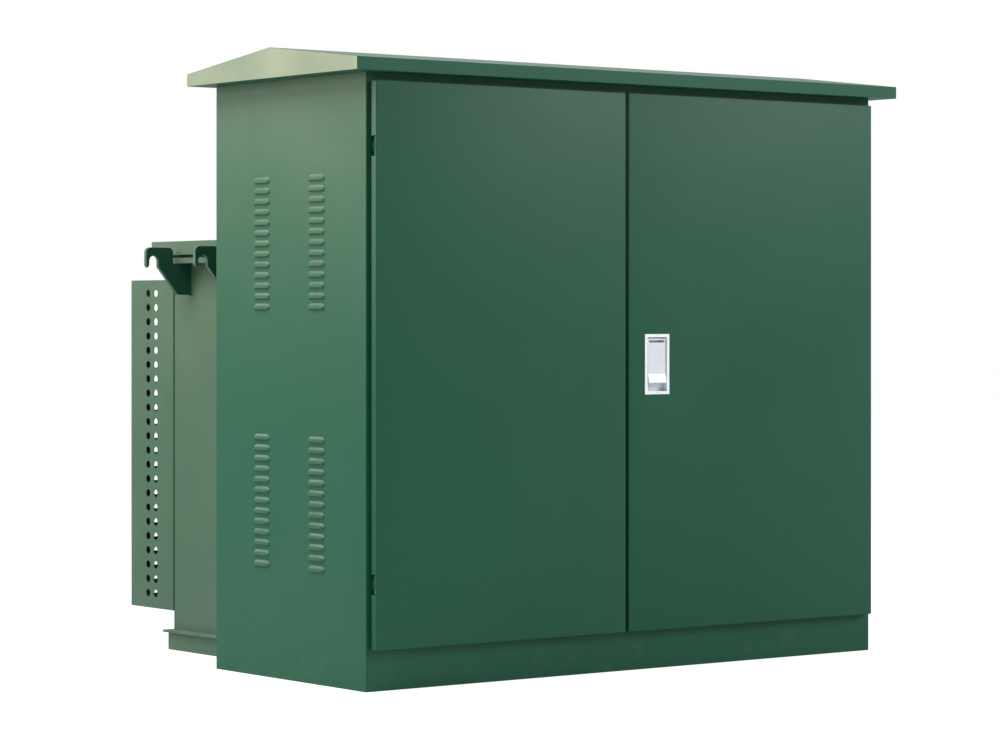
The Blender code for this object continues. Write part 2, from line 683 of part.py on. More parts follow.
def make_lock():
    half_width, half_height = lock_body_half_sizes()
    floor_back = LOCK_FRONT + LOCK_DEPTH + LOCK_WALL
    dish = lock_block("handle_dish", LOCK_WIDTH / 2, LOCK_HEIGHT / 2,
                      (LOCK_FRONT, DOOR_FACE - GAP))
    body = lock_block("dish_body", half_width, half_height, (LOCK_FRONT + BITE, floor_back))
    hollow = lock_block("dish_hollow", half_width - LOCK_WALL, half_height - LOCK_WALL,
                        (LOCK_FRONT - BITE, floor_back - LOCK_WALL))
    pin_hole = rod("paddle_pin_hole", (LOCK_X - LOCK_WIDTH, PADDLE_PIN_Y, PADDLE_PIN_Z),
                   (LOCK_X + LOCK_WIDTH, PADDLE_PIN_Y, PADDLE_PIN_Z),
                   PADDLE_PIN_RADIUS + SHAFT_CLEARANCE)
    join(dish, body)
    cut(dish, hollow, pin_hole)
    finish_part(dish, "lock_metal")

    front, back = DOOR_FACE, DOOR_FACE + PADDLE_PLATE
    top = PADDLE_PIN_Z - PADDLE_TOP_BELOW_PIN
    bend = top - PADDLE_LENGTH
    lip = bend - PADDLE_LIP_DROP
    outline = [(front, top), (back, top), (back, bend), (back - PADDLE_LIP_PROUD, lip),
               (front - PADDLE_LIP_PROUD, lip), (front, bend)]
    paddle = prism("handle_paddle", outline, "X", LOCK_X - PADDLE_WIDTH / 2,
                   LOCK_X + PADDLE_WIDTH / 2)
    pin_reach = half_width - SHAFT_CLEARANCE
    pin = rod("paddle_pin", (LOCK_X - pin_reach, PADDLE_PIN_Y, PADDLE_PIN_Z),
              (LOCK_X + pin_reach, PADDLE_PIN_Y, PADDLE_PIN_Z), PADDLE_PIN_RADIUS)
    join(paddle, pin)
    for side in (-1, 1):
        outer = LOCK_X + side * PADDLE_WIDTH / 2
        ear = block(f"paddle_ear_{side}", sorted((outer, outer - side * PADDLE_EAR)),
                    (back - PADDLE_PLATE / 2, back + PADDLE_PLATE / 2),
                    (top - PADDLE_PLATE, PADDLE_PIN_Z))
        join(paddle, ear)
    finish_part(turn_about(paddle, LOCK_X, PADDLE_PIN_Y, PADDLE_PIN_Z), "lock_metal")


def flat_bar(name, x, low, high):
    bar = block(name, (x - ROD_WIDTH / 2, x + ROD_WIDTH / 2),
                (ROD_Y - ROD_THICKNESS / 2, ROD_Y + ROD_THICKNESS / 2), (low, high))
    finish_part(bar, "plated_steel")


def make_rods_and_bolts():
    lock_reach = LOCK_HEIGHT / 2 + ROD_LOCK_CLEARANCE
    flat_bar("upper_latch_rod", LOCK_X, LOCK_MIDDLE_HEIGHT + lock_reach,
             upper_keeper_bottom() - KEEPER_CLEARANCE)
    flat_bar("lower_latch_rod", LOCK_X, lower_keeper_bottom() + KEEPER_HEIGHT + KEEPER_CLEARANCE,
             LOCK_MIDDLE_HEIGHT - lock_reach)
    bolt_x = LEFT_DOOR[1] - BOLT_FROM_DOOR_EDGE
    bolt_room = DOOR_SKIN + BOLT_TRAVEL + KEEPER_CLEARANCE
    flat_bar("left_door_top_bolt", bolt_x, DOOR_TOP - bolt_room - BOLT_LENGTH,
             DOOR_TOP - bolt_room)
    flat_bar("left_door_bottom_bolt", bolt_x, DOOR_BOTTOM + bolt_room,
             DOOR_BOTTOM + bolt_room + BOLT_LENGTH)


# ----------------------------------------------------------------------- tank
def wall_holes():
    """The round holes in the tank's front wall: name, x, z and radius."""
    holes = [(f"hv_hole_{i}", x, HV_BUSHING_HEIGHT, HV_STEM_RADIUS)
             for i, x in enumerate(HV_BUSHING_X)]
    holes += [(f"lv_hole_{i}", x, LV_BUSHING_HEIGHT, LV_STEM_RADIUS)
              for i, x in enumerate(LV_BUSHING_X)]
    holes += [(f"fuse_hole_{i}", x, FUSE_HEIGHT, FUSE_TUBE_RADIUS) for i, x in enumerate(FUSE_X)]
    shaft_room = SHAFT_RADIUS + TURNING_CLEARANCE
    holes.append(("switch_hole", SWITCH_X, SWITCH_HEIGHT, shaft_room))
    holes.append(("tap_hole", TAP_X, TAP_HEIGHT, shaft_room))
    return holes


def make_tank_body():
    walls = block("tank_body", (-HALF_TANK, HALF_TANK), (REAR, TANK_REAR),
                  (TANK_FLOOR_HEIGHT - BITE, TANK_HEIGHT - BITE))
    half_base = HALF_TANK + BASE_SIDE_OVERHANG
    base = block("tank_base_plate", (-half_base, half_base), (REAR, TANK_REAR + BASE_REAR_OVERHANG),
                 (TANK_FLOOR_HEIGHT - BASE_PLATE, TANK_FLOOR_HEIGHT))
    half_rim = HALF_TANK + RIM_OVERHANG
    rim = block("tank_rim", (-half_rim, half_rim), (REAR, TANK_REAR + RIM_REAR_OVERHANG),
                (RIM_UNDERSIDE, TANK_HEIGHT))
    room = block("tank_room", (TANK_WALL - HALF_TANK, HALF_TANK - TANK_WALL),
                 (REAR + TANK_WALL, TANK_REAR - TANK_WALL), (TANK_FLOOR_HEIGHT, TANK_HEIGHT + BITE))
    join(walls, base, rim)
    cut(walls, room)
    for name, x, z, radius in wall_holes():
        cut(walls, rod(name, (x, REAR - BITE, z), (x, REAR + TANK_WALL + BITE, z),
                       radius + SHAFT_CLEARANCE))
    finish_part(walls, "tank_paint")


def make_tank_cover():
    half = HALF_TANK + RIM_OVERHANG
    front, rear = REAR + COVER_FRONT_CLEARANCE, TANK_REAR + RIM_OVERHANG
    cover_top = COVER_BOTTOM + COVER_HEIGHT
    cover = block("tank_cover", (-half, half), (front, rear), (COVER_BOTTOM, cover_top))
    hollow = block("cover_hollow", (COVER_WALL - half, half - COVER_WALL),
                   (front + COVER_WALL, rear - COVER_WALL),
                   (COVER_BOTTOM + COVER_WALL, cover_top - COVER_WALL))
    mouth = block("cover_mouth", (COVER_SEAT - half, half - COVER_SEAT),
                  (front + COVER_SEAT, TANK_REAR - COVER_SEAT),
                  (COVER_BOTTOM - BITE, COVER_BOTTOM + COVER_WALL + BITE))
    finish_part(cut(cover, hollow, mouth), "tank_paint")

    inset = (GASKET_INSET, GASKET_INSET + GASKET_WIDTH)
    level = (TANK_HEIGHT + GAP, COVER_BOTTOM - GAP)
    gasket = block("cover_gasket", (inset[0] - half, half - inset[0]),
                   (front + inset[0], TANK_REAR), level)
    inside = block("gasket_inside", (inset[1] - half, half - inset[1]),
                   (front + inset[1], TANK_REAR - GASKET_WIDTH),
                   (level[0] - BITE, level[1] + BITE))
    finish_part(cut(gasket, inside), "rubber")


def lug_outline():
    """The hook plate's outline: (distance from the tank's wall, height)."""
    root = RIM_OVERHANG + LUG_COVER_CLEARANCE
    top = RIM_UNDERSIDE + LUG_ABOVE_RIM
    bottom = RIM_UNDERSIDE - LUG_BELOW_RIM
    under = RIM_UNDERSIDE - GAP
    throat = (LUG_REACH - LUG_TIP - LUG_THROAT_RADIUS, RIM_UNDERSIDE + LUG_THROAT_RADIUS / 2)
    shank = throat[0] - LUG_THROAT_RADIUS
    outline = [(GAP, bottom), (LUG_HEEL, bottom), (shank, RIM_UNDERSIDE - LUG_TIP)]
    outline += arc(throat, LUG_THROAT_RADIUS, 180, 0)
    outline.append((throat[0] + LUG_THROAT_RADIUS, RIM_UNDERSIDE - LUG_TIP / 2))
    outline.append((LUG_REACH - LUG_TIP / 2, RIM_UNDERSIDE - LUG_TIP_BELOW_RIM))
    outline.append((LUG_REACH, RIM_UNDERSIDE - LUG_TIP / 2))
    outline += arc((LUG_REACH - LUG_ROUNDING, top - LUG_ROUNDING), LUG_ROUNDING, 0, 90)
    outline += arc((root + LUG_ROUNDING, top - LUG_ROUNDING), LUG_ROUNDING, 90, 180)
    outline += [(root, under), (GAP, under)]
    return outline


def make_lifting_lugs():
    rear_y = TANK_REAR - LUG_FROM_TANK_REAR
    for place, y in (("rear", rear_y), ("front", rear_y - LUG_SPACING)):
        for name, side in (("left", -1), ("right", 1)):
            placed = [(side * (HALF_TANK + out), up) for out, up in lug_outline()]
            lug = prism(f"lifting_lug_{name}_{place}", placed, "Y", y - LUG_THICKNESS / 2,
                        y + LUG_THICKNESS / 2)
            finish_part(lug, "tank_paint")


def make_base_rails():
    top = TANK_FLOOR_HEIGHT - BASE_PLATE - GAP
    outer = HALF_TANK + BASE_SIDE_OVERHANG - RAIL_INSET
    inner = outer - RAIL_WIDTH
    outline = [(outer, 0), (outer, top), (inner, top), (inner, top - RAIL_WALL),
               (outer - RAIL_WALL, top - RAIL_WALL), (outer - RAIL_WALL, RAIL_WALL),
               (inner, RAIL_WALL), (inner, 0)]
    rear = TANK_REAR + BASE_REAR_OVERHANG - RAIL_REAR_INSET
    for name, side in (("base_rail_left", -1), ("base_rail_right", 1)):
        placed = [(side * across, up) for across, up in outline]
        finish_part(prism(name, placed, "Y", REAR, rear), "tank_paint")


# ------------------------------------------------------- fin bank and guards
def make_radiator_fins():
    """A header sheet on the tank's rear wall with its row of cooling fins."""
    root, tip = TANK_REAR + GAP, TANK_REAR + FIN_DEPTH
    header_back = root + FIN_HEADER
    span = FIN_BANK_HALF_WIDTH
    pitch = (2 * span - FIN_THICKNESS) / (FIN_COUNT - 1)
    outline = [(-span, root), (span, root)]
    for number in reversed(range(FIN_COUNT)):
        left = -span + number * pitch
        outline += [(left + FIN_THICKNESS, tip), (left, tip)]
        if number:
            outline += [(left, header_back), (left + FIN_THICKNESS - pitch, header_back)]
    fins = prism("radiator_fins", outline, "Z", FIN_BOTTOM, FIN_TOP)
    finish_part(fins, "tank_paint")


def guard_holes(name, start, end, column_step):
    holes = rod(name, start, end, GUARD_HOLE_RADIUS, GUARD_HOLE_SIDES)
    turn = holes.rotation_quaternion.to_matrix().to_4x4()
    holes.data.transform(Matrix.Translation(holes.location) @ turn)
    holes.rotation_quaternion = (1, 0, 0, 0)
    holes.location = (0, 0, 0)
    repeat(holes, GUARD_HOLE_ROWS, (0, 0, GUARD_HOLE_PITCH))
    repeat(holes, 2, column_step)
    return holes


def make_guard(name, side):
    """A perforated sheet folded round the fin bank's corner."""
    outer, rear, front = HALF_TANK, GUARD_REAR, TANK_REAR + GUARD_STANDOFF
    inner = outer - GUARD_SHEET
    outline = [(outer - GUARD_RETURN, front), (outer, front), (outer, rear),
               (outer - GUARD_REAR_LEG, rear), (outer - GUARD_REAR_LEG, rear - GUARD_SHEET),
               (inner, rear - GUARD_SHEET), (inner, front + GUARD_SHEET),
               (outer - GUARD_RETURN, front + GUARD_SHEET)]
    placed = [(side * across, along) for across, along in outline]
    guard = prism(name, placed, "Z", GUARD_BOTTOM, GUARD_TOP)
    column = GUARD_REAR - GUARD_SIDE_COLUMN
    side_holes = guard_holes(name + "_side_holes",
                             (side * (outer + BITE), column, GUARD_HOLE_LOWEST),
                             (side * (inner - BITE), column, GUARD_HOLE_LOWEST),
                             (0, -GUARD_HOLE_COLUMN_SPACING, 0))
    column = side * (outer - GUARD_REAR_COLUMN)
    rear_holes = guard_holes(name + "_rear_holes",
                             (column, rear - GUARD_SHEET - BITE, GUARD_HOLE_LOWEST),
                             (column, rear + BITE, GUARD_HOLE_LOWEST),
                             (-side * GUARD_HOLE_COLUMN_SPACING, 0, 0))
    cut(guard, side_holes, rear_holes)
    edge = outer - GUARD_RETURN
    for level in (GUARD_BOTTOM + GUARD_RETURN, GUARD_TOP - GUARD_RETURN):
        spacer = block(f"{name}_spacer_{level:.2f}",
                       sorted((side * edge, side * (edge + GUARD_SPACER))),
                       (TANK_REAR + GAP, front + BITE),
                       (level - GUARD_SPACER / 2, level + GUARD_SPACER / 2))
        join(guard, spacer)
    finish_part(guard, "tank_paint")


# ---------------------------------------------------------- core and windings
def make_core():
    floor = TANK_FLOOR_HEIGHT + GAP
    half = LIMB_SPACING + LIMB_SIZE / 2
    depth = (TANK_MIDDLE - LIMB_SIZE / 2, TANK_MIDDLE + LIMB_SIZE / 2)
    core = block("core", (-half, half), depth, (floor, floor + WINDOW_HEIGHT + 2 * LIMB_SIZE))
    for side in (-1, 1):
        middle = side * LIMB_SPACING / 2
        half_window = (LIMB_SPACING - LIMB_SIZE) / 2
        window = block(f"core_window_{side}", (middle - half_window, middle + half_window),
                       (depth[0] - BITE, depth[1] + BITE),
                       (floor + LIMB_SIZE, floor + LIMB_SIZE + WINDOW_HEIGHT))
        cut(core, window)
    finish_part(core, "core_steel")

    low = floor + LIMB_SIZE + (WINDOW_HEIGHT - WINDING_HEIGHT) / 2
    for number, x in enumerate((-LIMB_SPACING, 0, LIMB_SPACING), start=1):
        winding = rod(f"winding_{number}", (x, TANK_MIDDLE, low),
                      (x, TANK_MIDDLE, low + WINDING_HEIGHT), WINDING_OUTER_RADIUS, WINDING_SIDES)
        bore = rod(f"winding_bore_{number}", (x, TANK_MIDDLE, low - BITE),
                   (x, TANK_MIDDLE, low + WINDING_HEIGHT + BITE), WINDING_INNER_RADIUS,
                   WINDING_SIDES)
        finish_part(cut(winding, bore), "winding_paper", smooth=True)


# ------------------------------------------- terminals on the tank's front wall
TOWARDS_DOORS = (0, -1, 0)


def make_hv_bushings():
    """Capped separable bushings; distances run from the tank wall to the doors."""
    collar_start, collar_end = [HV_LENGTH * share for share in HV_COLLAR]
    profile = [(0, -SHAFT_INSIDE), (HV_STEM_RADIUS, -SHAFT_INSIDE), (HV_STEM_RADIUS, GAP),
               (HV_FLANGE_RADIUS, GAP), (HV_FLANGE_RADIUS, HV_FLANGE),
               (HV_BODY_RADIUS, HV_FLANGE), (HV_WAIST_RADIUS, collar_start),
               (HV_COLLAR_RADIUS, collar_start), (HV_COLLAR_RADIUS, collar_end),
               (HV_EYE_RADII[0], HV_LENGTH * HV_EYE_START), (HV_EYE_RADII[1], HV_LENGTH),
               (0, HV_LENGTH)]
    for number, x in enumerate(HV_BUSHING_X, start=1):
        bushing = turned(f"hv_bushing_{number}", profile, (x, REAR, HV_BUSHING_HEIGHT),
                         TOWARDS_DOORS)
        finish_part(bushing, "bushing_resin")


def make_lv_bushings():
    """Insulators that each carry a flat, four-hole spade."""
    stud_end = LV_LENGTH + LV_STUD
    profile = [(0, -SHAFT_INSIDE), (LV_STEM_RADIUS, -SHAFT_INSIDE), (LV_STEM_RADIUS, GAP),
               (LV_FLANGE_RADIUS, GAP), (LV_FLANGE_RADIUS, LV_FLANGE),
               (LV_BODY_RADIUS, LV_FLANGE), (LV_SHOULDER_RADIUS, LV_LENGTH),
               (LV_STUD, LV_LENGTH), (LV_STUD, stud_end), (0, stud_end)]
    near = REAR - LV_LENGTH - BITE
    far = near - SPADE_LENGTH
    middle = far + SPADE_LENGTH - SPADE_HEIGHT
    for number, x in enumerate(LV_BUSHING_X, start=1):
        bushing = turned(f"lv_bushing_{number}", profile, (x, REAR, LV_BUSHING_HEIGHT),
                         TOWARDS_DOORS)
        spade = block(f"lv_spade_{number}", (x - SPADE_THICKNESS / 2, x + SPADE_THICKNESS / 2),
                      (far, near), (LV_BUSHING_HEIGHT - SPADE_HEIGHT / 2,
                                    LV_BUSHING_HEIGHT + SPADE_HEIGHT / 2))
        join(bushing, spade)
        for along in (-1, 1):
            for up in (-1, 1):
                y = middle + along * SPADE_HOLE_SPACING / 2
                z = LV_BUSHING_HEIGHT + up * SPADE_HOLE_SPACING / 2
                hole = rod(f"spade_hole_{number}_{along}_{up}", (x - SPADE_THICKNESS, y, z),
                           (x + SPADE_THICKNESS, y, z), SPADE_HOLE_RADIUS, SPADE_HOLE_SIDES)
                cut(bushing, hole)
        finish_part(bushing, "tinned_copper")


def make_fuse_holders():
    """Draw-out fuse holders that slide through the tank's front wall."""
    end = FUSE_CAP_LENGTH + FUSE_NECK
    profile = [(0, -FUSE_TUBE_INSIDE), (FUSE_TUBE_RADIUS, -FUSE_TUBE_INSIDE),
               (FUSE_TUBE_RADIUS, FUSE_NECK / 2), (FUSE_CAP_RADIUS, FUSE_NECK / 2),
               (FUSE_CAP_RADIUS, FUSE_CAP_LENGTH), (FUSE_CAP_RADIUS / 2, end), (0, end)]
    for number, x in enumerate(FUSE_X, start=1):
        holder = turned(f"fuse_holder_{number}", profile, (x, REAR, FUSE_HEIGHT), TOWARDS_DOORS)
        finish_part(holder, "black_moulding")


def make_rotary_handle(name, x, z, hub_radius, lever_length, slot):
    profile = [(0, -SHAFT_INSIDE), (SHAFT_RADIUS, -SHAFT_INSIDE), (SHAFT_RADIUS, GAP),
               (hub_radius, GAP), (hub_radius, HUB_LENGTH), (0, HUB_LENGTH)]
    handle = turned(name, profile, (x, REAR, z), TOWARDS_DOORS)
    front = REAR - HUB_LENGTH
    lever = block(name + "_lever", (x - LEVER_WIDTH / 2, x + LEVER_WIDTH / 2),
                  (front - LEVER_THICKNESS, front + BITE), (z - hub_radius / 2, z + lever_length))
    join(handle, lever)
    finish_part(turn_about(handle, x, REAR, z), slot, smooth=True)


def make_dial(name, x):
    """One round gauge on the tank's front wall."""
    base = GAP + GAUGE_PLATE / 2
    profile = [(0, base), (GAUGE_RADIUS / 2, base), (GAUGE_RADIUS / 2, GAUGE_LENGTH / 2),
               (GAUGE_RADIUS, GAUGE_LENGTH / 2), (GAUGE_RADIUS, GAUGE_LENGTH),
               (GAUGE_RADIUS - SHEET, GAUGE_LENGTH), (GAUGE_RADIUS - SHEET, GAUGE_LENGTH - SHEET),
               (0, GAUGE_LENGTH - SHEET)]
    return turned(name, profile, (x, REAR, GAUGE_HEIGHT), TOWARDS_DOORS, GAUGE_SIDES)


def make_gauges():
    """The oil level gauge and the thermometer, side by side on a common plate."""
    plate = block("tank_gauges", (GAUGE_X - GAUGE_RADIUS, THERMOMETER_X + GAUGE_RADIUS),
                  (REAR - GAP - GAUGE_PLATE, REAR - GAP),
                  (GAUGE_HEIGHT - GAUGE_RADIUS, GAUGE_HEIGHT + GAUGE_RADIUS))
    join(plate, make_dial("oil_level_gauge", GAUGE_X), make_dial("thermometer", THERMOMETER_X))
    finish_part(plate, "black_moulding")


def make_relief_valve():
    body_start, body_end = [RELIEF_LENGTH * share for share in RELIEF_STEPS]
    profile = [(0, GAP), (RELIEF_RADIUS, GAP), (RELIEF_RADIUS, body_start),
               (RELIEF_BODY_RADIUS, body_start), (RELIEF_BODY_RADIUS, body_end),
               (RELIEF_TIP_RADIUS, RELIEF_LENGTH), (0, RELIEF_LENGTH)]
    valve = turned("pressure_relief_valve", profile, (RELIEF_X, REAR, GAUGE_HEIGHT), TOWARDS_DOORS)
    finish_part(valve, "brass")


def make_drain_valve():
    x, y, z = DRAIN_X, REAR - DRAIN_REACH, DRAIN_HEIGHT
    bonnet_top = z + DRAIN_BONNET_TOP
    body = rod("drain_valve_body", (x, REAR - GAP, z), (x, y - DRAIN_BODY_RADIUS * 2, z),
               DRAIN_PIPE_RADIUS)
    barrel = rod("valve_barrel", (x, y + DRAIN_BODY_RADIUS, z), (x, y - DRAIN_BODY_RADIUS, z),
                 DRAIN_BODY_RADIUS)
    bonnet = rod("valve_bonnet", (x, y, z), (x, y, bonnet_top), DRAIN_BONNET_RADIUS)
    bore = rod("valve_stem_bore", (x, y, bonnet_top - DRAIN_STEM_DEPTH - BITE),
               (x, y, bonnet_top + BITE), DRAIN_STEM_RADIUS + SHAFT_CLEARANCE)
    join(body, barrel, bonnet)
    cut(body, bore)
    finish_part(body, "brass")

    level = bonnet_top + WHEEL_LIFT
    rim = arc((WHEEL_RADIUS, 0), WHEEL_RIM_RADIUS, 0, 360, WHEEL_RIM_SIDES)[:-1]
    mesh = bpy.data.meshes.new("drain_wheel")
    mesh.from_pydata([(radius, 0, up) for radius, up in reversed(rim)],
                     [(i, (i + 1) % len(rim)) for i in range(len(rim))], [])
    wheel = add_object("drain_wheel", mesh, (x, y, level))
    screw = wheel.modifiers.new("turn", "SCREW")
    screw.steps = screw.render_steps = ROUND_SIDES
    screw.use_merge_vertices = True
    screw.merge_threshold = 0.00001
    stem = rod("valve_stem", (x, y, bonnet_top - DRAIN_STEM_DEPTH),
               (x, y, level + WHEEL_RIM_RADIUS), DRAIN_STEM_RADIUS)
    join(wheel, stem)
    for number in range(2):
        across = Vector((WHEEL_RADIUS, 0, 0)) if number else Vector((0, WHEEL_RADIUS, 0))
        centre = Vector((x, y, level))
        join(wheel, rod(f"wheel_spoke_{number}", centre - across, centre + across,
                        WHEEL_SPOKE_RADIUS, WHEEL_RIM_SIDES))
    finish_part(turn_about(wheel, x, y, level), "red_moulding", smooth=True)


def make_ground_bar():
    back = REAR - GROUND_BAR_STANDOFF
    level = (GROUND_BAR_HEIGHT - GROUND_BAR_WIDTH / 2, GROUND_BAR_HEIGHT + GROUND_BAR_WIDTH / 2)
    bar = block("ground_bar", GROUND_BAR_X, (back - GROUND_BAR_THICKNESS, back), level)
    length = GROUND_BAR_X[1] - GROUND_BAR_X[0]
    end_margin = GROUND_BAR_WIDTH
    half_foot = GROUND_BAR_WIDTH / 4
    foot_places = (GROUND_BAR_X[0] + end_margin / 2, GROUND_BAR_X[1] - end_margin / 2)
    for number, x in enumerate(foot_places):
        foot = block(f"ground_bar_foot_{number}", (x - half_foot, x + half_foot),
                     (back - BITE, REAR - GAP), level)
        join(bar, foot)
    pitch = (length - 2 * end_margin) / GROUND_BAR_HOLES
    first = GROUND_BAR_X[0] + end_margin + pitch / 2
    holes = rod("ground_bar_holes", (0, -GROUND_BAR_THICKNESS, 0), (0, GROUND_BAR_THICKNESS, 0),
                GROUND_BAR_HOLE_RADIUS, SPADE_HOLE_SIDES)
    holes.data.transform(holes.rotation_quaternion.to_matrix().to_4x4())
    holes.rotation_quaternion = (1, 0, 0, 0)
    holes.location = (first, back - GROUND_BAR_THICKNESS / 2, GROUND_BAR_HEIGHT)
    repeat(holes, GROUND_BAR_HOLES, (pitch, 0, 0))
    finish_part(cut(bar, holes), "bare_copper")


# ------------------------------------------------------------------- assembly
for leftover in list(bpy.data.objects):
    bpy.data.objects.remove(leftover)
PARTS = make_collection("pad_mounted_transformer")
CUTTERS = make_collection("cutters")

make_side_panel("left_side_panel", -1)
make_side_panel("right_side_panel", 1)
make_door_frame()
make_rear_panel()
make_barrier()
make_roof()
make_doors()
make_hinges()
make_lock()
make_rods_and_bolts()
make_tank_body()
make_tank_cover()
make_lifting_lugs()
make_base_rails()
make_radiator_fins()
make_guard("radiator_guard_left", -1)
make_guard("radiator_guard_right", 1)
make_core()
make_hv_bushings()
make_lv_bushings()
make_fuse_holders()
make_rotary_handle("switch_handle", SWITCH_X, SWITCH_HEIGHT, SWITCH_HUB_RADIUS,
                   SWITCH_LEVER_LENGTH, "red_moulding")
make_rotary_handle("tap_changer_handle", TAP_X, TAP_HEIGHT, TAP_HUB_RADIUS, TAP_LEVER_LENGTH,
                   "black_moulding")
make_gauges()
make_relief_valve()
make_drain_valve()
make_ground_bar()
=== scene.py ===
"""The looks of the pad-mounted transformer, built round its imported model.

Metres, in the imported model's frame: +X to the right along the doors, -Y faces
the person who opens them, +Z up.  Places and sizes come from the frame's nodes.
"""
import json
import math

import bmesh
import bpy
from mathutils import Matrix, Vector

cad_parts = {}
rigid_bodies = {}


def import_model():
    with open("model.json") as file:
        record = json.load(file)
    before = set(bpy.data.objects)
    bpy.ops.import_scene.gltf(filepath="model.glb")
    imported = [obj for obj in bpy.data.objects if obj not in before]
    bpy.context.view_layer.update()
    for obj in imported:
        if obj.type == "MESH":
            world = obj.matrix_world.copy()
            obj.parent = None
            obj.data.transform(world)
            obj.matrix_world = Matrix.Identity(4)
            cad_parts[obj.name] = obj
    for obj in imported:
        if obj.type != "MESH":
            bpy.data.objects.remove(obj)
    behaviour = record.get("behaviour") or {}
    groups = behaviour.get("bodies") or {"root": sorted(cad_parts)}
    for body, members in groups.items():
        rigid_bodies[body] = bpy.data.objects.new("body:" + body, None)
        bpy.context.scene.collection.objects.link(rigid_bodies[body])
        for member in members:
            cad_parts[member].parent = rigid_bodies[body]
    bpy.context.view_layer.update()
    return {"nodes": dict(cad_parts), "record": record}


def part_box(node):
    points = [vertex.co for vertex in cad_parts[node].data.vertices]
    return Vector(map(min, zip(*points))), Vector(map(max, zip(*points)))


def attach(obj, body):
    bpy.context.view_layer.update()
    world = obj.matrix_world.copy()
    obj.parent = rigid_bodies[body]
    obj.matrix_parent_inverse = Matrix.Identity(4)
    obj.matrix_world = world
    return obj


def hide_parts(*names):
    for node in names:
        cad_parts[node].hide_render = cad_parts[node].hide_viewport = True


for leftover in list(bpy.data.objects):
    bpy.data.objects.remove(leftover)
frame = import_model()

NODES = frame["nodes"]
BODY_OF = {node: body for body, nodes in frame["record"]["behaviour"]["bodies"].items()
           for node in nodes}
HOUSING = "enclosure_and_tank"

# ---- places from the frame
CABINET_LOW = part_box("left_side_panel")[0]
CABINET_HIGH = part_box("right_side_panel")[1]
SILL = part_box("front_sill")
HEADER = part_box("front_header")
LEFT_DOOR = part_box("left_door")
RIGHT_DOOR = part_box("right_door")
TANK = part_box("tank_body")
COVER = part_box("tank_cover")
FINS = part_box("radiator_fins")
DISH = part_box("handle_dish")
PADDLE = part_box("handle_paddle")

FRONT_PLANE = CABINET_LOW.y
TANK_FRONT = TANK[0].y
SHEET = 0.003
ROOF_SIDE_OVERHANG = 0.074
HALF_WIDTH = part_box("roof")[1].x - ROOF_SIDE_OVERHANG
HALF_TANK = abs(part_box("radiator_guard_left")[0].x)
TANK_REAR = FINS[0].y
DOOR_SKIN = 0.0025
PAN_FLOOR = LEFT_DOOR[0].y + DOOR_SKIN

# ---- paint and metal
CABINET_GREEN = (0.0078, 0.0630, 0.0340)
ROOF_GREEN = (0.0110, 0.0700, 0.0400)
TANK_GREEN = (0.0110, 0.0590, 0.0340)
PAINTED_SHEEN_TINT = (0.340, 0.330, 0.240)           # painted sheen: a pale tint on faces toward either end, stronger toward the top, for light glancing off them
# pale dusty tint: real dust on upward faces and near the foot, and a painted highlight on the louvres'
# upward faces
DUST_AND_HIGHLIGHT = (0.300, 0.290, 0.220)
LOCK_GREY = (0.600, 0.625, 0.655)
ZINC = (0.560, 0.565, 0.560)
COPPER = (0.640, 0.290, 0.150)
TIN = (0.640, 0.600, 0.540)
BRASS = (0.640, 0.460, 0.180)
RUBBER_BLACK = (0.018, 0.018, 0.019)
MOULDING_BLACK = (0.022, 0.022, 0.025)
RESIN = (0.230, 0.055, 0.032)
SIGNAL_RED = (0.430, 0.025, 0.018)
DIAL_WHITE = (0.780, 0.780, 0.760)
CORE_GREY = (0.180, 0.185, 0.200)
PAPER = (0.430, 0.300, 0.160)
PLATE_GREY = (0.600, 0.610, 0.620)

MATERIALS = {}


class Wiring:
    """Adds nodes to one node tree and joins them."""

    def __init__(self, tree):
        self.tree = tree

    def feed(self, socket, value):
        """Links an output to a socket, or sets a number, a vector or a colour on it."""
        if isinstance(value, bpy.types.NodeSocket):
            self.tree.links.new(value, socket)
        else:
            socket.default_value = (*value, 1.0) if socket.type == "RGBA" else value

    def add(self, kind, inputs=(), **settings):
        node = self.tree.nodes.new(kind)
        for key, value in settings.items():
            setattr(node, key, value)
        for key, value in dict(inputs).items():
            self.feed(node.inputs[key], value)
        return node

    def math(self, operation, first, second=0.0):
        return self.add("ShaderNodeMath", {0: first, 1: second}, operation=operation).outputs[0]

    def blend(self, share, first, second):
        return self.add("ShaderNodeMixShader", {0: share, 1: first, 2: second}).outputs[0]


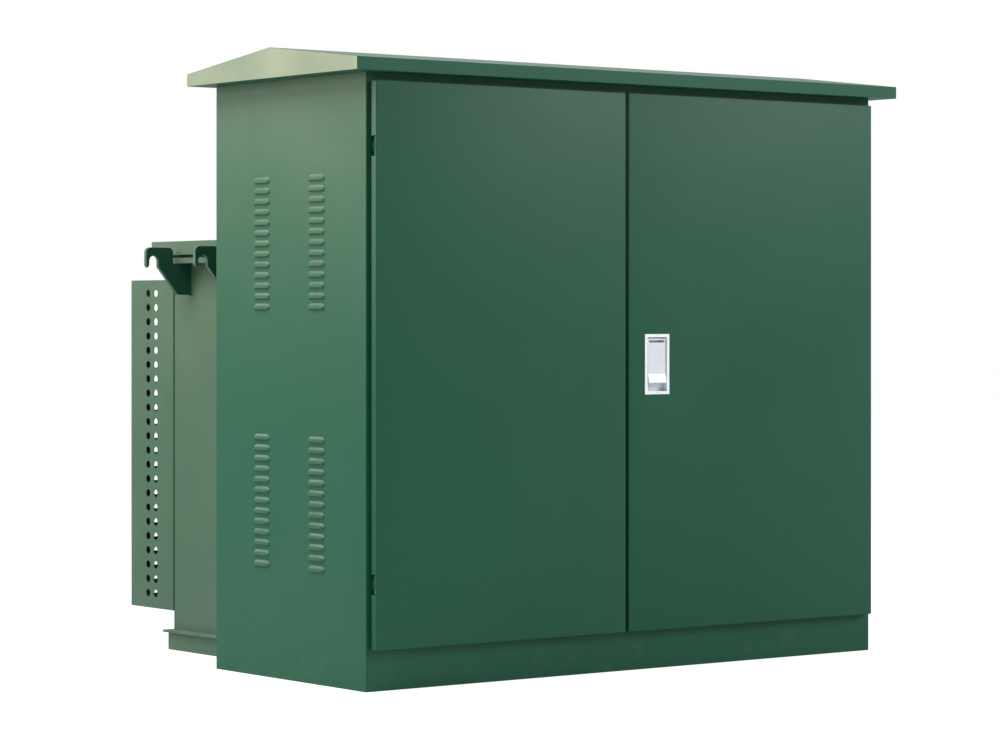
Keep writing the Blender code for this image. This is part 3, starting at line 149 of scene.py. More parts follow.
class Surface(Wiring):
    """One Principled material and the patterns that its colour and bumps are made from."""

    def __init__(self, name):
        material = bpy.data.materials.new(name)
        material.use_nodes = True
        super().__init__(material.node_tree)
        self.inputs = self.tree.nodes["Principled BSDF"].inputs
        self.place = self.add("ShaderNodeTexCoord").outputs["Object"]
        MATERIALS[name] = material

    def noise(self, scale, detail=4.0, roughness=0.55, stretch=(1, 1, 1)):
        """Noise in the object's own metres, squeezed along an axis by stretch."""
        mapping = self.add("ShaderNodeMapping", {"Vector": self.place, "Scale": stretch})
        return self.add("ShaderNodeTexNoise", {
            "Vector": mapping.outputs["Vector"], "Scale": scale, "Detail": detail,
            "Roughness": roughness}).outputs["Fac"]

    def bands(self, direction, scale, distortion, detail=2.0):
        return self.add("ShaderNodeTexWave", {
            "Vector": self.place, "Scale": scale, "Distortion": distortion, "Detail": detail},
            bands_direction=direction).outputs["Fac"]

    def ramp(self, value, low, high, from_low=0.0, from_high=1.0):
        """Maps a value's range onto low to high, held at both ends."""
        return self.add("ShaderNodeMapRange", {
            "Value": value, "From Min": from_low, "From Max": from_high, "To Min": low,
            "To Max": high}).outputs["Result"]

    def mix(self, factor, first, second):
        node = self.add("ShaderNodeMix", {0: factor}, data_type="RGBA")
        colours = [socket for socket in node.inputs if socket.type == "RGBA"]
        for socket, value in zip(colours, (first, second)):
            self.feed(socket, value)
        return next(socket for socket in node.outputs if socket.type == "RGBA")

    def axis(self, source, index):
        return self.add("ShaderNodeSeparateXYZ", {0: source}).outputs[index]

    def bump(self, height, strength, distance, normal=None):
        node = self.add("ShaderNodeBump", {"Height": height, "Strength": strength,
                                           "Distance": distance})
        if normal is not None:
            self.feed(node.inputs["Normal"], normal)
        return node.outputs["Normal"]

    def finish(self, colour, roughness, normal, metallic=0.0, specular=0.5):
        self.feed(self.inputs["Base Color"], colour)
        self.feed(self.inputs["Roughness"], roughness)
        self.feed(self.inputs["Normal"], normal)
        self.inputs["Metallic"].default_value = metallic
        self.inputs["Specular IOR Level"].default_value = specular


def shade(colour, factor):
    return tuple(min(1.0, channel * factor) for channel in colour)


def make_paint(name, colour, dust_and_highlight, roughness, wave=0.0006, peel=0.10, specular=0.16,
               painted_sheen=(0.0, 0.0), slope=0.45):
    """Powder-coated sheet: slow colour drift, orange peel, a dusty tint on what faces up that is also a
    painted highlight, and painted sheen toward either end.

    painted_sheen is the painted sheen, a pale tint for light glancing off the faces toward either
    end, that they get at the foot and at the top; slope is how far a face must look up before the
    dusty tint, which is also a painted highlight, lies on it.
    """
    s = Surface(name)
    drift = s.noise(1.7, 5.0)
    speck = s.noise(260.0, 2.0)
    base = s.mix(drift, shade(colour, 0.90), shade(colour, 1.12))
    base = s.mix(s.ramp(speck, 0.0, 0.35, 0.60, 0.80), base, shade(colour, 1.45))
    normal = s.add("ShaderNodeNewGeometry").outputs["Normal"]
    # Painted sheen: faces toward either end are tinted pale, more so toward the top, standing for light
    # glancing off them.
    if max(painted_sheen) > 0:
        endward = s.ramp(s.math("ABSOLUTE", s.axis(normal, 0), 0.0), 0.0, 1.0, 0.80, 0.97)
        rise = s.ramp(s.axis(s.place, 2), 0.0, 1.0, 0.20, 1.90)
        share = s.ramp(s.math("POWER", rise, 3.0), painted_sheen[0], painted_sheen[1])
        uneven = s.ramp(s.noise(2.6, 6.0, 0.6), 0.80, 1.20, 0.30, 0.70)
        base = s.mix(s.math("MULTIPLY", s.math("MULTIPLY", endward, share), uneven), base, PAINTED_SHEEN_TINT)
    # Faces that look up past slope get the dusty tint; where its share is high, as on the louvres, it is
    # a painted highlight on their tops.
    upward = s.ramp(s.axis(normal, 2), 0.0, 1.0, slope, 0.98)
    patches = s.ramp(s.noise(9.0, 6.0, 0.65), 0.45, 1.0, 0.30, 0.62)
    upward_dust_and_highlight = s.math("MULTIPLY", s.math("MULTIPLY", upward, patches), dust_and_highlight)
    low = s.ramp(s.axis(s.place, 2), 1.0, 0.0, 0.0, 0.22)
    splash = s.math("MULTIPLY", s.math("MULTIPLY", low, s.ramp(s.noise(14.0, 6.0), 0.0, 1.0,
                                                              0.48, 0.72)), dust_and_highlight * 0.12)
    cover = s.math("MAXIMUM", upward_dust_and_highlight, splash)
    base = s.mix(cover, base, DUST_AND_HIGHLIGHT)
    rough = s.math("ADD", s.ramp(s.noise(3.2, 5.0), roughness - 0.05, roughness + 0.06),
                   s.math("MULTIPLY", cover, 0.25))
    dents = s.bump(s.noise(1.9, 1.5), 0.5, wave)
    skin = s.bump(s.noise(420.0, 2.5), peel, 0.0004, dents)
    s.finish(base, rough, skin, specular=specular)


def make_metal(name, colour, roughness, grain=(1, 1, 1), mottled=0.0):
    """Bare or plated metal, brushed along a stretch where grain says so."""
    s = Surface(name)
    base = s.mix(s.noise(38.0, 6.0, 0.6), shade(colour, 0.78), shade(colour, 1.10))
    if mottled:
        cells = s.add("ShaderNodeTexVoronoi", {"Vector": s.place, "Scale": 90.0})
        flake = s.ramp(s.axis(cells.outputs["Color"], 0), 0.0, mottled)
        base = s.mix(flake, base, shade(colour, 0.62))
    lines = s.noise(160.0, 3.0, 0.5, grain)
    rough = s.ramp(lines, roughness - 0.08, roughness + 0.12)
    s.finish(base, rough, s.bump(lines, 0.12, 0.0004), metallic=1.0)


def make_moulding(name, colour, roughness, texture=700.0, specular=0.45):
    """Moulded plastic, rubber or resin with a fine grain."""
    s = Surface(name)
    base = s.mix(s.noise(22.0, 5.0), shade(colour, 0.82), shade(colour, 1.22))
    rough = s.ramp(s.noise(60.0, 4.0), roughness - 0.06, roughness + 0.08)
    s.finish(base, rough, s.bump(s.noise(texture, 2.0), 0.18, 0.0003), specular=specular)


def make_cast_metal(name, colour, roughness, metallic):
    """Matt-plated zinc casting: soft pits, slight dulling, darker in random smudges."""
    s = Surface(name)
    base = s.mix(s.noise(55.0, 6.0, 0.6), shade(colour, 0.86), shade(colour, 1.04))
    smudge = s.ramp(s.noise(18.0, 5.0), 0.0, 0.30, 0.50, 0.75)
    base = s.mix(smudge, base, shade(colour, 0.70))
    rough = s.ramp(s.noise(90.0, 4.0), roughness - 0.06, roughness + 0.10)
    s.finish(base, rough, s.bump(s.noise(900.0, 3.0), 0.15, 0.0002), metallic=metallic)


def make_laminations(name, colour):
    """Stacked core steel: fine lines across the stack's depth."""
    s = Surface(name)
    sheets = s.bands("Y", 180.0, 0.6)
    base = s.mix(sheets, shade(colour, 0.65), shade(colour, 1.2))
    s.finish(base, 0.45, s.bump(sheets, 0.3, 0.0004), metallic=0.8)


def make_wound_paper(name, colour):
    s = Surface(name)
    turns = s.bands("Z", 45.0, 1.2, 3.0)
    base = s.mix(turns, shade(colour, 0.75), shade(colour, 1.15))
    s.finish(base, 0.7, s.bump(turns, 0.4, 0.001))


# On these paints the pale tint on faces toward either end is painted sheen, strongest toward the top.
make_paint("cabinet_paint", CABINET_GREEN, 0.30, 0.42, painted_sheen=(0.0, 0.19))
# The louvres' paint is a lighter copy of the cabinet green, with a high dusty share on a low slope: a
# painted highlight along the tops of the hoods.
make_paint("louvre_paint", shade(CABINET_GREEN, 1.15), 0.6, 0.42, painted_sheen=(0.02, 0.14), slope=0.25)
make_paint("roof_paint", ROOF_GREEN, 0.12, 0.44, painted_sheen=(0.0, 0.54))
make_paint("tank_paint", TANK_GREEN, 0.40, 0.46, wave=0.0004, painted_sheen=(0.09, 0.34))
make_paint("inner_paint", shade(CABINET_GREEN, 1.1), 0.25, 0.50)
make_cast_metal("lock_metal", LOCK_GREY, 0.40, 0.10)
# The dish is a lighter copy of the lock grey: painted light that brightens its shaded recess round the
# paddle.
make_cast_metal("dish_metal", shade(LOCK_GREY, 1.25), 0.40, 0.10)
make_metal("zinc", ZINC, 0.38, mottled=0.5)
make_metal("bolt_steel", shade(ZINC, 0.85), 0.35)
make_metal("copper", COPPER, 0.34, grain=(0.15, 1, 1))
make_metal("tin", TIN, 0.36, grain=(1, 0.2, 1))
make_metal("brass", BRASS, 0.32)
make_metal("nameplate", PLATE_GREY, 0.36, grain=(0.1, 1, 1))
make_moulding("rubber", RUBBER_BLACK, 0.72, 400.0, 0.3)
make_moulding("black_moulding", MOULDING_BLACK, 0.42)
make_moulding("resin", RESIN, 0.30, 300.0)
make_moulding("signal_red", SIGNAL_RED, 0.40)
make_moulding("dial_face", DIAL_WHITE, 0.55, 500.0)
make_laminations("laminations", CORE_GREY)
make_wound_paper("wound_paper", PAPER)


def make_glass(name):
    inputs = Surface(name).inputs
    inputs["Roughness"].default_value = 0.03
    inputs["Transmission Weight"].default_value = 1.0
    inputs["IOR"].default_value = 1.1


make_glass("gauge_glass")


# ---- building tools
OUTWARD, REARWARD, UPWARD = (0, -1, 0), (0, 1, 0), (0, 0, 1)
MM = 0.001
HEX_SIDES = 6


def link_mesh(name, builder):
    """Turns a bmesh into an object of the scene, with its faces turned outward."""
    mesh = bpy.data.meshes.new(name)
    bmesh.ops.recalc_face_normals(builder, faces=builder.faces)
    builder.to_mesh(mesh)
    builder.free()
    made = bpy.data.objects.new(name, mesh)
    bpy.context.scene.collection.objects.link(made)
    return made


def smooth(mesh, angle=32):
    """Shades a mesh smooth, apart from edges sharper than an angle."""
    mesh.shade_smooth()
    mesh.set_sharp_from_angle(angle=math.radians(angle))


def new_object(name, builder, finish, body=HOUSING, replaced=(), smooth_angle=32):
    """Turns a bmesh into a finished piece that rides on a body."""
    piece = link_mesh(name, builder)
    piece.data.materials.append(MATERIALS[finish])
    smooth(piece.data, smooth_angle)
    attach(piece, body)
    if replaced:
        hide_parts(*replaced)
    return piece


def round_edges(piece, width, segments=3, angle=35):
    """Rounds a piece's edges and keeps its flats flat."""
    bevel = piece.modifiers.new("edges", "BEVEL")
    bevel.width = width
    bevel.segments = segments
    bevel.limit_method = "ANGLE"
    bevel.angle_limit = math.radians(angle)
    bevel.harden_normals = True
    return piece


def add_box(builder, low, high):
    """Adds a block between two corners and returns its vertices."""
    low, high = Vector(low), Vector(high)
    size = Matrix.Diagonal((*(high - low), 1))
    place = Matrix.Translation((low + high) / 2)
    return bmesh.ops.create_cube(builder, size=1, matrix=place @ size)["verts"]


def turn_to(facing):
    """A rotation that takes +Z to a direction."""
    return Vector(facing).to_track_quat("Z", "Y").to_matrix().to_4x4()


def circle(radius, sides, height=0.0):
    """Points round the Z axis."""
    turns = [2 * math.pi * step / sides for step in range(sides)]
    return [Vector((radius * math.cos(turn), radius * math.sin(turn), height)) for turn in turns]


def bridge(builder, lower, upper):
    """Joins two rings of vertices with faces; a ring may be a single vertex."""
    sides = max(len(lower), len(upper))
    for step in range(sides):
        after = (step + 1) % sides
        corners = dict.fromkeys((lower[step % len(lower)], lower[after % len(lower)],
                                 upper[after % len(upper)], upper[step % len(upper)]))
        if len(corners) > 2:
            builder.faces.new(list(corners))


def add_turned(builder, profile, origin, facing, sides=40):
    """Adds a turned shape; profile pairs are (radius, distance along facing)."""
    place = Matrix.Translation(origin) @ turn_to(facing)
    rings = []
    for radius, along in profile:
        points = circle(radius, sides, along) if radius else [Vector((0, 0, along))]
        rings.append([builder.verts.new(place @ point) for point in points])
    for lower, upper in zip(rings, rings[1:]):
        bridge(builder, lower, upper)


def disc(radius, start, end, chamfer=(0, 0), bore=0):
    """The profile of a disc or ring; chamfer is how far its outer end draws in and back."""
    inward, back = chamfer
    rim = [(radius, end - back), (radius - inward, end)] if inward else [(radius, end)]
    return [(bore, start), (radius, start), *rim, (bore, end)]


def add_prism(builder, outline, axis, start, end):
    """Adds a flat outline pushed along an axis; pairs are the other two axes in order."""
    ends = []
    for along in (start, end):
        ring = []
        for pair in outline:
            values = list(pair)
            values.insert("XYZ".index(axis), along)
            ring.append(builder.verts.new(values))
        builder.faces.new(ring)
        ends.append(ring)
    bridge(builder, *ends)


def add_tube(builder, points, radius, sides=10, closed=False):
    """Adds a round bar along points."""
    points = [Vector(point) for point in points]
    count = len(points)
    rings = []
    for i, point in enumerate(points):
        before = points[(i - 1) % count] if closed or i else point
        after = points[(i + 1) % count] if closed or i < count - 1 else point
        turn = turn_to(after - before)
        rings.append([builder.verts.new(point + turn @ spot) for spot in circle(radius, sides)])
    for lower, upper in zip(rings, rings[1:]):
        bridge(builder, lower, upper)
    if closed:
        bridge(builder, rings[-1], rings[0])
    else:
        builder.faces.new(rings[0])
        builder.faces.new(rings[-1])


def arc(centre, radius, start, end, steps=6):
    angles = [math.radians(start + (end - start) * i / steps) for i in range(steps + 1)]
    return [(centre[0] + radius * math.cos(a), centre[1] + radius * math.sin(a)) for a in angles]


def rounded_rectangle(low, high, radius, steps=6):
    corners = ((high[0] - radius, high[1] - radius, 0), (low[0] + radius, high[1] - radius, 90),
               (low[0] + radius, low[1] + radius, 180), (high[0] - radius, low[1] + radius, 270))
    return [point for x, y, start in corners
            for point in arc((x, y), radius, start, start + 90, steps)]


def subtract(piece, cutter):
    """Cuts a bmesh's shape out of a piece for good."""
    tool = link_mesh("cutter", cutter)
    modifier = piece.modifiers.new("cut", "BOOLEAN")
    modifier.operation = "DIFFERENCE"
    modifier.solver = "EXACT"
    modifier.object = tool
    bpy.context.view_layer.update()
    graph = bpy.context.evaluated_depsgraph_get()
    made = bpy.data.meshes.new_from_object(piece.evaluated_get(graph))
    piece.modifiers.remove(modifier)
    piece.data = made
    bpy.data.objects.remove(tool)
    smooth(made)
    return piece


def cut_holes(piece, radius, depth, places, facing, sides=28):
    """Drills round holes of one size, each along facing from its place."""
    cutter = bmesh.new()
    for place in places:
        add_turned(cutter, disc(radius, 0, depth), place, facing, sides)
    return subtract(piece, cutter)


def refine(node, finish, width, segments=3, angle=35):
    """A CAD node's own shape with rounded edges and a finish, in the node's place."""
    builder = bmesh.new()
    builder.from_mesh(NODES[node].data)
    bmesh.ops.remove_doubles(builder, verts=builder.verts, dist=0.00002)
    bmesh.ops.dissolve_limit(builder, angle_limit=math.radians(1.0), verts=builder.verts,
                             edges=builder.edges)
    piece = new_object(node + "_finished", builder, finish, BODY_OF[node], (node,))
    round_edges(piece, width, segments, angle)


def add_bolt(builder, place, facing, size):
    """Adds a chamfered hexagon head on its washer; size is the thread's diameter."""
    washer = [(0, 0), (1.05, 0), (1.10, 0.04), (1.05, 0.18), (0, 0.18)]
    head = [(0, 0), (0.85, 0), (0.85, 0.50), (0.731, 0.62), (0, 0.62)]
    for shape, rise, sides in ((washer, 0, 20), (head, 0.17, HEX_SIDES)):
        add_turned(builder, [(radius * size, along * size) for radius, along in shape],
                   Vector(place) + Vector(facing) * rise * size, facing, sides)


def make_bolts(name, places, facing=OUTWARD, body=HOUSING, size=0.010, finish="bolt_steel"):
    builder = bmesh.new()
    for place in places:
        add_bolt(builder, place, facing, size)
    new_object(name, builder, finish, body)


def spread(low, high, count):
    """Evenly spaced values from low to high."""
    return [low + (high - low) * i / (count - 1) for i in range(count)]


# ---- cabinet
LOUVRE = {"width": 0.092, "height": 0.018, "proud": 0.0080, "pitch": 0.0334, "rows": 13,
          "column": 0.3085, "group": 0.815, "lowest": 0.351, "sheet": 0.0014, "straight": 0.66}
LOUVRE_PROFILE = ((0.00, 1.00), (0.22, 0.95), (0.55, 0.79), (0.82, 0.64), (0.94, 0.54),
                  (1.00, 0.40), (1.00, 0.20), (1.00, 0.00))     # shares of proud and height
CORNER_RADIUS = 0.0028


def louvre_places():
    """The middle of each louvre's underside, as (y, z)."""
    middle = (CABINET_LOW.y + CABINET_HIGH.y) / 2
    for column in (-LOUVRE["column"] / 2, LOUVRE["column"] / 2):
        for group in (0, LOUVRE["group"]):
            for row in range(LOUVRE["rows"]):
                yield middle + column, LOUVRE["lowest"] + group + row * LOUVRE["pitch"]


def add_hood(builder, side, y, z):
    """Adds one pressed louvre hood: round along its top, with its corners drawn in."""
    across, down = 24, len(LOUVRE_PROFILE) - 1
    outer, inner = [], []
    for shell, inset in ((outer, 0.0), (inner, LOUVRE["sheet"])):
        for i in range(across + 1):
            along = -math.cos(math.pi * i / across)
            end = max(0.0, abs(along) - LOUVRE["straight"]) / (1 - LOUVRE["straight"])
            fullness = max(0.0, 1 - end ** 1.5) ** (1 / 1.5)
            half = LOUVRE["width"] / 2 - inset
            column = []
            for away, rise in LOUVRE_PROFILE:
                out = (LOUVRE["proud"] - inset) * fullness * away
                up = (LOUVRE["height"] - inset) * (0.35 + 0.65 * fullness) * rise
                column.append(builder.verts.new((side * (HALF_WIDTH - 0.0006 + out),
                                                 y + along * half, z + up)))
            shell.append(column)
    for shell in (outer, inner):
        for i in range(across):
            for j in range(down):
                builder.faces.new((shell[i][j], shell[i + 1][j], shell[i + 1][j + 1],
                                   shell[i][j + 1]))
    for i in range(across):
        builder.faces.new((outer[i][-1], outer[i + 1][-1], inner[i + 1][-1], inner[i][-1]))
        builder.faces.new((outer[i][0], outer[i + 1][0], inner[i + 1][0], inner[i][0]))
    for i in (0, across):
        for j in range(down):
            builder.faces.new((outer[i][j], outer[i][j + 1], inner[i][j + 1], inner[i][j]))


def make_side_panel(node, side):
    low, high = CABINET_LOW, CABINET_HIGH
    outer, inner = side * HALF_WIDTH, side * (HALF_WIDTH - SHEET)
    corner = (outer - side * CORNER_RADIUS, low.y + CORNER_RADIUS)
    fold = arc(corner, CORNER_RADIUS, 270, 360 if side > 0 else 180, 5)
    outline = [(inner, low.y)] + fold + [(outer, high.y), (inner, high.y)]
    builder = bmesh.new()
    add_prism(builder, outline, "Z", low.z, high.z)
    panel = new_object(node + "_finished", builder, "cabinet_paint", HOUSING, (node,))
    cutter = bmesh.new()
    reach = LOUVRE["width"] / 2 - 2 * LOUVRE["sheet"]
    for y, z in louvre_places():
        slot = rounded_rectangle((y - reach, z), (y + reach, z + LOUVRE["height"] * 0.66), 0.0035, 3)
        add_prism(cutter, slot, "X", *sorted((side * (HALF_WIDTH - 2 * SHEET),
                                              side * (HALF_WIDTH + SHEET))))
    subtract(panel, cutter)
    hoods = bmesh.new()
    for y, z in louvre_places():
        add_hood(hoods, side, y, z)
    new_object(node + "_louvres", hoods, "louvre_paint", smooth_angle=35)


make_side_panel("left_side_panel", -1)
make_side_panel("right_side_panel", 1)
for part in ("front_sill", "front_header", "left_door_post", "right_door_post", "rear_panel"):
    refine(part, "cabinet_paint", 0.0006, 2)
refine("compartment_barrier", "zinc", 0.0006, 2)
for part in ("lower_keeper", "upper_keeper"):
    refine(part, "zinc", 0.0010, 2)
refine("roof", "roof_paint", 0.0022, 4, angle=4)


def make_frame_seals():
    """Foam strips that the doors close on, between the corner posts and clear of the lock."""
    builder = bmesh.new()
    thickness, width, end, gap = 0.0042, 0.008, 0.050, 0.03
    for low in (SILL[1].z - 0.014, HEADER[0].z + 0.004):
        strip = rounded_rectangle((FRONT_PLANE - thickness, low), (FRONT_PLANE + 0.0004, low + width),
                                  0.0014, 4)
        for span in ((SILL[0].x + end, LEFT_DOOR[1].x - gap), (RIGHT_DOOR[0].x + gap, PADDLE[0].x - gap),
                     (PADDLE[1].x + gap, SILL[1].x - end)):
            add_prism(builder, strip, "X", *span)
    new_object("door_seals", builder, "rubber")


make_frame_seals()


# ---- doors
FOLD_RADIUS = 0.003
STIFFENER = {"depth": 0.0066, "half": 0.030, "flank": 0.006, "wing": 0.014, "sheet": 0.0015,
             "lowest": 0.32, "end_gap": 0.050, "free_end_gap": 0.012, "lock_gap": 0.003,
             "pitch": 0.11, "weld_inset": 0.007}
LOCK_CENTRE = (DISH[0] + DISH[1]) / 2
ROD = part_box("upper_latch_rod")
ROD_GUIDE_HEIGHTS = (0.30, 0.74, 1.24, 1.70)
BOLT_GUIDE_OFFSET = 0.036               # from a bolt's middle
DISH_LAP = 0.0077                       # of the dish's rim over the door's hole
CLAMP_OFFSET = 0.055                    # from the lock's middle
CLAMP_HALF_WIDTH = 0.062


def make_door_shell(node):
    """A folded pan: rounded outside, open behind, notched at its hinges."""
    low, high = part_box(node)
    builder = bmesh.new()
    add_box(builder, low, high)
    edges = [edge for edge in builder.edges
             if min(vert.co.y for vert in edge.verts) < low.y + SHEET / 4]
    bmesh.ops.bevel(builder, geom=edges, offset=FOLD_RADIUS, segments=4, profile=0.5,
                    affect="EDGES")
    door = new_object(node + "_shell", builder, "cabinet_paint", BODY_OF[node], (node,))
    side = node.split("_")[0]
    edge = low.x if side == "left" else high.x
    cuts = [((low.x + DOOR_SKIN, PAN_FLOOR, low.z + DOOR_SKIN),
             (high.x - DOOR_SKIN, high.y + SHEET, high.z - DOOR_SKIN))]
    for level in ("lower", "upper"):
        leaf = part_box(f"{side}_{level}_hinge_door_leaf")
        cuts.append(((edge - 2 * DOOR_SKIN, PAN_FLOOR, leaf[0].z - SHEET),
                     (edge + 2 * DOOR_SKIN, high.y + SHEET, leaf[1].z + SHEET)))
    if side == "right":
        cuts.append(((DISH[0].x + DISH_LAP, low.y - SHEET, DISH[0].z + DISH_LAP),
                     (DISH[1].x - DISH_LAP, PAN_FLOOR + SHEET / 2, DISH[1].z - DISH_LAP)))
    for corners in cuts:
        cutter = bmesh.new()
        add_box(cutter, *corners)
        subtract(door, cutter)


def make_stiffeners(node):
    """Hat sections across a door, spot-welded along both wings."""
    low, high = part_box(node)
    half, end_gap = STIFFENER["half"], STIFFENER["end_gap"]
    floor = PAN_FLOOR + 0.0002
    crown, foot, reach = floor + STIFFENER["depth"], floor + STIFFENER["sheet"], half + STIFFENER["wing"]
    slope = half - STIFFENER["flank"]
    profile = ((floor, -reach), (foot, -reach), (foot, -half), (crown, -slope), (crown, slope),
               (foot, half), (foot, reach), (floor, reach))
    weld = [(0.0042, 0), (0.0035, 0.0004), (0, 0.0005)]
    builder, welds = bmesh.new(), bmesh.new()
    for height in spread(low.z + STIFFENER["lowest"], high.z - STIFFENER["lowest"], 4):
        outline = [(depth, height + up) for depth, up in profile]
        spans = [(low.x + end_gap, high.x - end_gap)]
        if node == "right_door" and DISH[0].z - reach < height < DISH[1].z + reach:
            spans = [(low.x + STIFFENER["free_end_gap"], DISH[0].x - STIFFENER["lock_gap"]),
                     (DISH[1].x + STIFFENER["lock_gap"], high.x - end_gap)]
        for start, end in spans:
            add_prism(builder, outline, "X", start, end)
            for x in spread(start + 0.01, end - 0.01, max(2, int((end - start) / STIFFENER["pitch"]))):
                for side in (-1, 1):
                    place = (x, foot, height + side * (reach - STIFFENER["weld_inset"]))
                    add_turned(welds, weld, place, REARWARD, 14)
    round_edges(new_object(node + "_stiffeners", builder, "inner_paint", BODY_OF[node]), 0.0006, 2)
    new_object(node + "_spot_welds", welds, "inner_paint", BODY_OF[node])


def make_staples(name, body, x, heights, inner, wing, under, length):
    """Bent straps that hold something against a door: half width inside, to each foot's end,
    the depth that they pass over, and their length up the door."""
    floor, strap = PAN_FLOOR + 0.0002, 0.0014
    half = [(wing, floor), (wing, floor + strap), (inner + strap, floor + strap),
            (inner + strap, under + strap)]
    half += [(-across, along) for across, along in reversed(half)]
    outline = half + [(-inner, floor), (-inner, under), (inner, under), (inner, floor)]
    builder = bmesh.new()
    for z in heights:
        add_prism(builder, [(x + across, along) for across, along in outline], "Z",
                  z - length / 2, z + length / 2)
    round_edges(new_object(name, builder, "zinc", body), 0.0004, 2)


def make_guides(name, body, x, heights):
    inner = (ROD[1].x - ROD[0].x) / 2 + 0.0012
    make_staples(name, body, x, heights, inner, inner + 0.009, ROD[1].y + 0.0006, 0.014)


def make_bolt_knob(node):
    low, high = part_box(node)
    builder = bmesh.new()
    profile = [(0.0032, -0.001), (0.0032, 0.002), (0.0055, 0.0026), (0.0060, 0.0034),
               (0.0060, 0.0048), (0.0050, 0.0056), (0, 0.0058)]
    add_turned(builder, profile, ((low.x + high.x) / 2, high.y, (low.z + high.z) / 2), REARWARD, 24)
    new_object(node + "_knob", builder, "bolt_steel", BODY_OF[node])


def make_hinge_screws(node, inward):
    """Two cross-slotted screws in a door leaf, their slots drawn as black bars on the heads: painted
    shade.
    """
    low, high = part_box(node)
    builder, slot_shade = bmesh.new(), bmesh.new()
    face, long, short = PAN_FLOOR + 0.0038, 0.0026, 0.0005
    x = (low.x if inward > 0 else high.x) + inward * 0.032
    for z in ((low.z * 3 + high.z) / 4, (low.z + high.z * 3) / 4):
        add_turned(builder, [(0.0044, 0), (0.0042, 0.0010), (0.0028, 0.0019), (0, 0.0021)],
                   (x, face, z), REARWARD, 22)
        # The cross slots are thin black bars on the heads, painted shade where a recess would be.
        for across, up in ((short, long), (long, short)):
            add_box(slot_shade, (x - across, face + 0.0018, z - up), (x + across, face + 0.0022, z + up))
    new_object(node + "_screws", builder, "bolt_steel", BODY_OF[node])
    new_object(node + "_screw_slot_shade", slot_shade, "black_moulding", BODY_OF[node])


def make_doors():
    for node in ("left_door", "right_door"):
        make_door_shell(node)
        make_stiffeners(node)
    for side, inward in (("left", 1), ("right", -1)):
        for level in ("lower", "upper"):
            for leaf in ("frame", "door"):
                refine(f"{side}_{level}_hinge_{leaf}_leaf", "inner_paint", 0.0004, 2)
            make_hinge_screws(f"{side}_{level}_hinge_door_leaf", inward)
    bolts = ("left_door_top_bolt", "left_door_bottom_bolt")
    for node in ("upper_latch_rod", "lower_latch_rod", *bolts):
        refine(node, "zinc", 0.0009, 3)
    make_guides("latch_rod_guides", "right_door", (ROD[0].x + ROD[1].x) / 2, ROD_GUIDE_HEIGHTS)
    for node in bolts:
        make_bolt_knob(node)
        middle = sum(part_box(node), Vector()) / 2
        make_guides(node + "_guides", "left_door", middle.x,
                    (middle.z - BOLT_GUIDE_OFFSET, middle.z + BOLT_GUIDE_OFFSET))


# ---- lock
def make_lock():
    refine("handle_dish", "dish_metal", 0.0009, 4, 40)
    refine("handle_paddle", "lock_metal", 0.0008, 4, 40)
    x, front = LOCK_CENTRE.x, DISH[0].y
    builder, slot_shade = bmesh.new(), bmesh.new()
    for z in (DISH[0].z + 0.005, DISH[1].z - 0.005):
        add_turned(builder, [(0.0026, 0), (0.0024, 0.0003), (0, 0.0005)], (x, front, z), OUTWARD, 24)
        # Each screw's slot is a thin black bar on its head, painted shade where a recess would be.
        add_box(slot_shade, (x - 0.0020, front - 0.0005, z - 0.0003), (x + 0.0020, front, z + 0.0003))
    new_object("dish_screws", builder, "lock_metal", "right_door")
    new_object("dish_screw_slot_shade", slot_shade, "black_moulding", "right_door")
    inner = (DISH[1].x - DISH[0].x) / 2 - 0.0065
    heights = (LOCK_CENTRE.z - CLAMP_OFFSET, LOCK_CENTRE.z + CLAMP_OFFSET)
    make_staples("dish_clamps", "right_door", x, heights, inner, CLAMP_HALF_WIDTH,
                 DISH[1].y + 0.0002, 0.018)


make_doors()
make_lock()


# ---- tank
WELD = 0.0028                           # a bead's radius
BASE_PLATE = 0.008
COVER_GAP = 0.009                       # rim to cover, filled by the gasket
RIM_THICKNESS = 0.019
CLAMP_BOLTS = {"front": 0.06, "rear": 0.05, "count": 5}     # from the tank's ends, per side


def make_tank():
    refine("tank_body", "tank_paint", 0.0020, 3, 40)
    refine("tank_cover", "tank_paint", 0.0030, 4, 40)
    refine("cover_gasket", "rubber", 0.0012, 3)
    for side in ("left", "right"):
        refine(f"base_rail_{side}", "tank_paint", 0.0018, 3)
    beads = bmesh.new()
    setback = 0.01                      # of the beads' ends behind the tank's front
    front, wall, rear = TANK_FRONT + setback, HALF_TANK, TANK_REAR
    floor, under = TANK[0].z + BASE_PLATE, COVER[0].z - COVER_GAP - RIM_THICKNESS
    for z in (floor, under):
        add_tube(beads, [(-wall, front, z), (-wall, rear, z), (wall, rear, z), (wall, front, z)], WELD)
    for x in (-wall, wall):
        add_tube(beads, [(x, rear, floor), (x, rear, under)], WELD / 2)
    new_object("tank_welds", beads, "tank_paint", smooth_angle=60)
    reach = (HALF_TANK + COVER[1].x) / 2
    along = spread(TANK_FRONT + CLAMP_BOLTS["front"], TANK_REAR - CLAMP_BOLTS["rear"],
                   CLAMP_BOLTS["count"])
    nuts = [(x, y, under) for x in (-reach, reach) for y in along]
    make_bolts("cover_clamp_bolts", nuts, (0, 0, -1), finish="tank_paint")


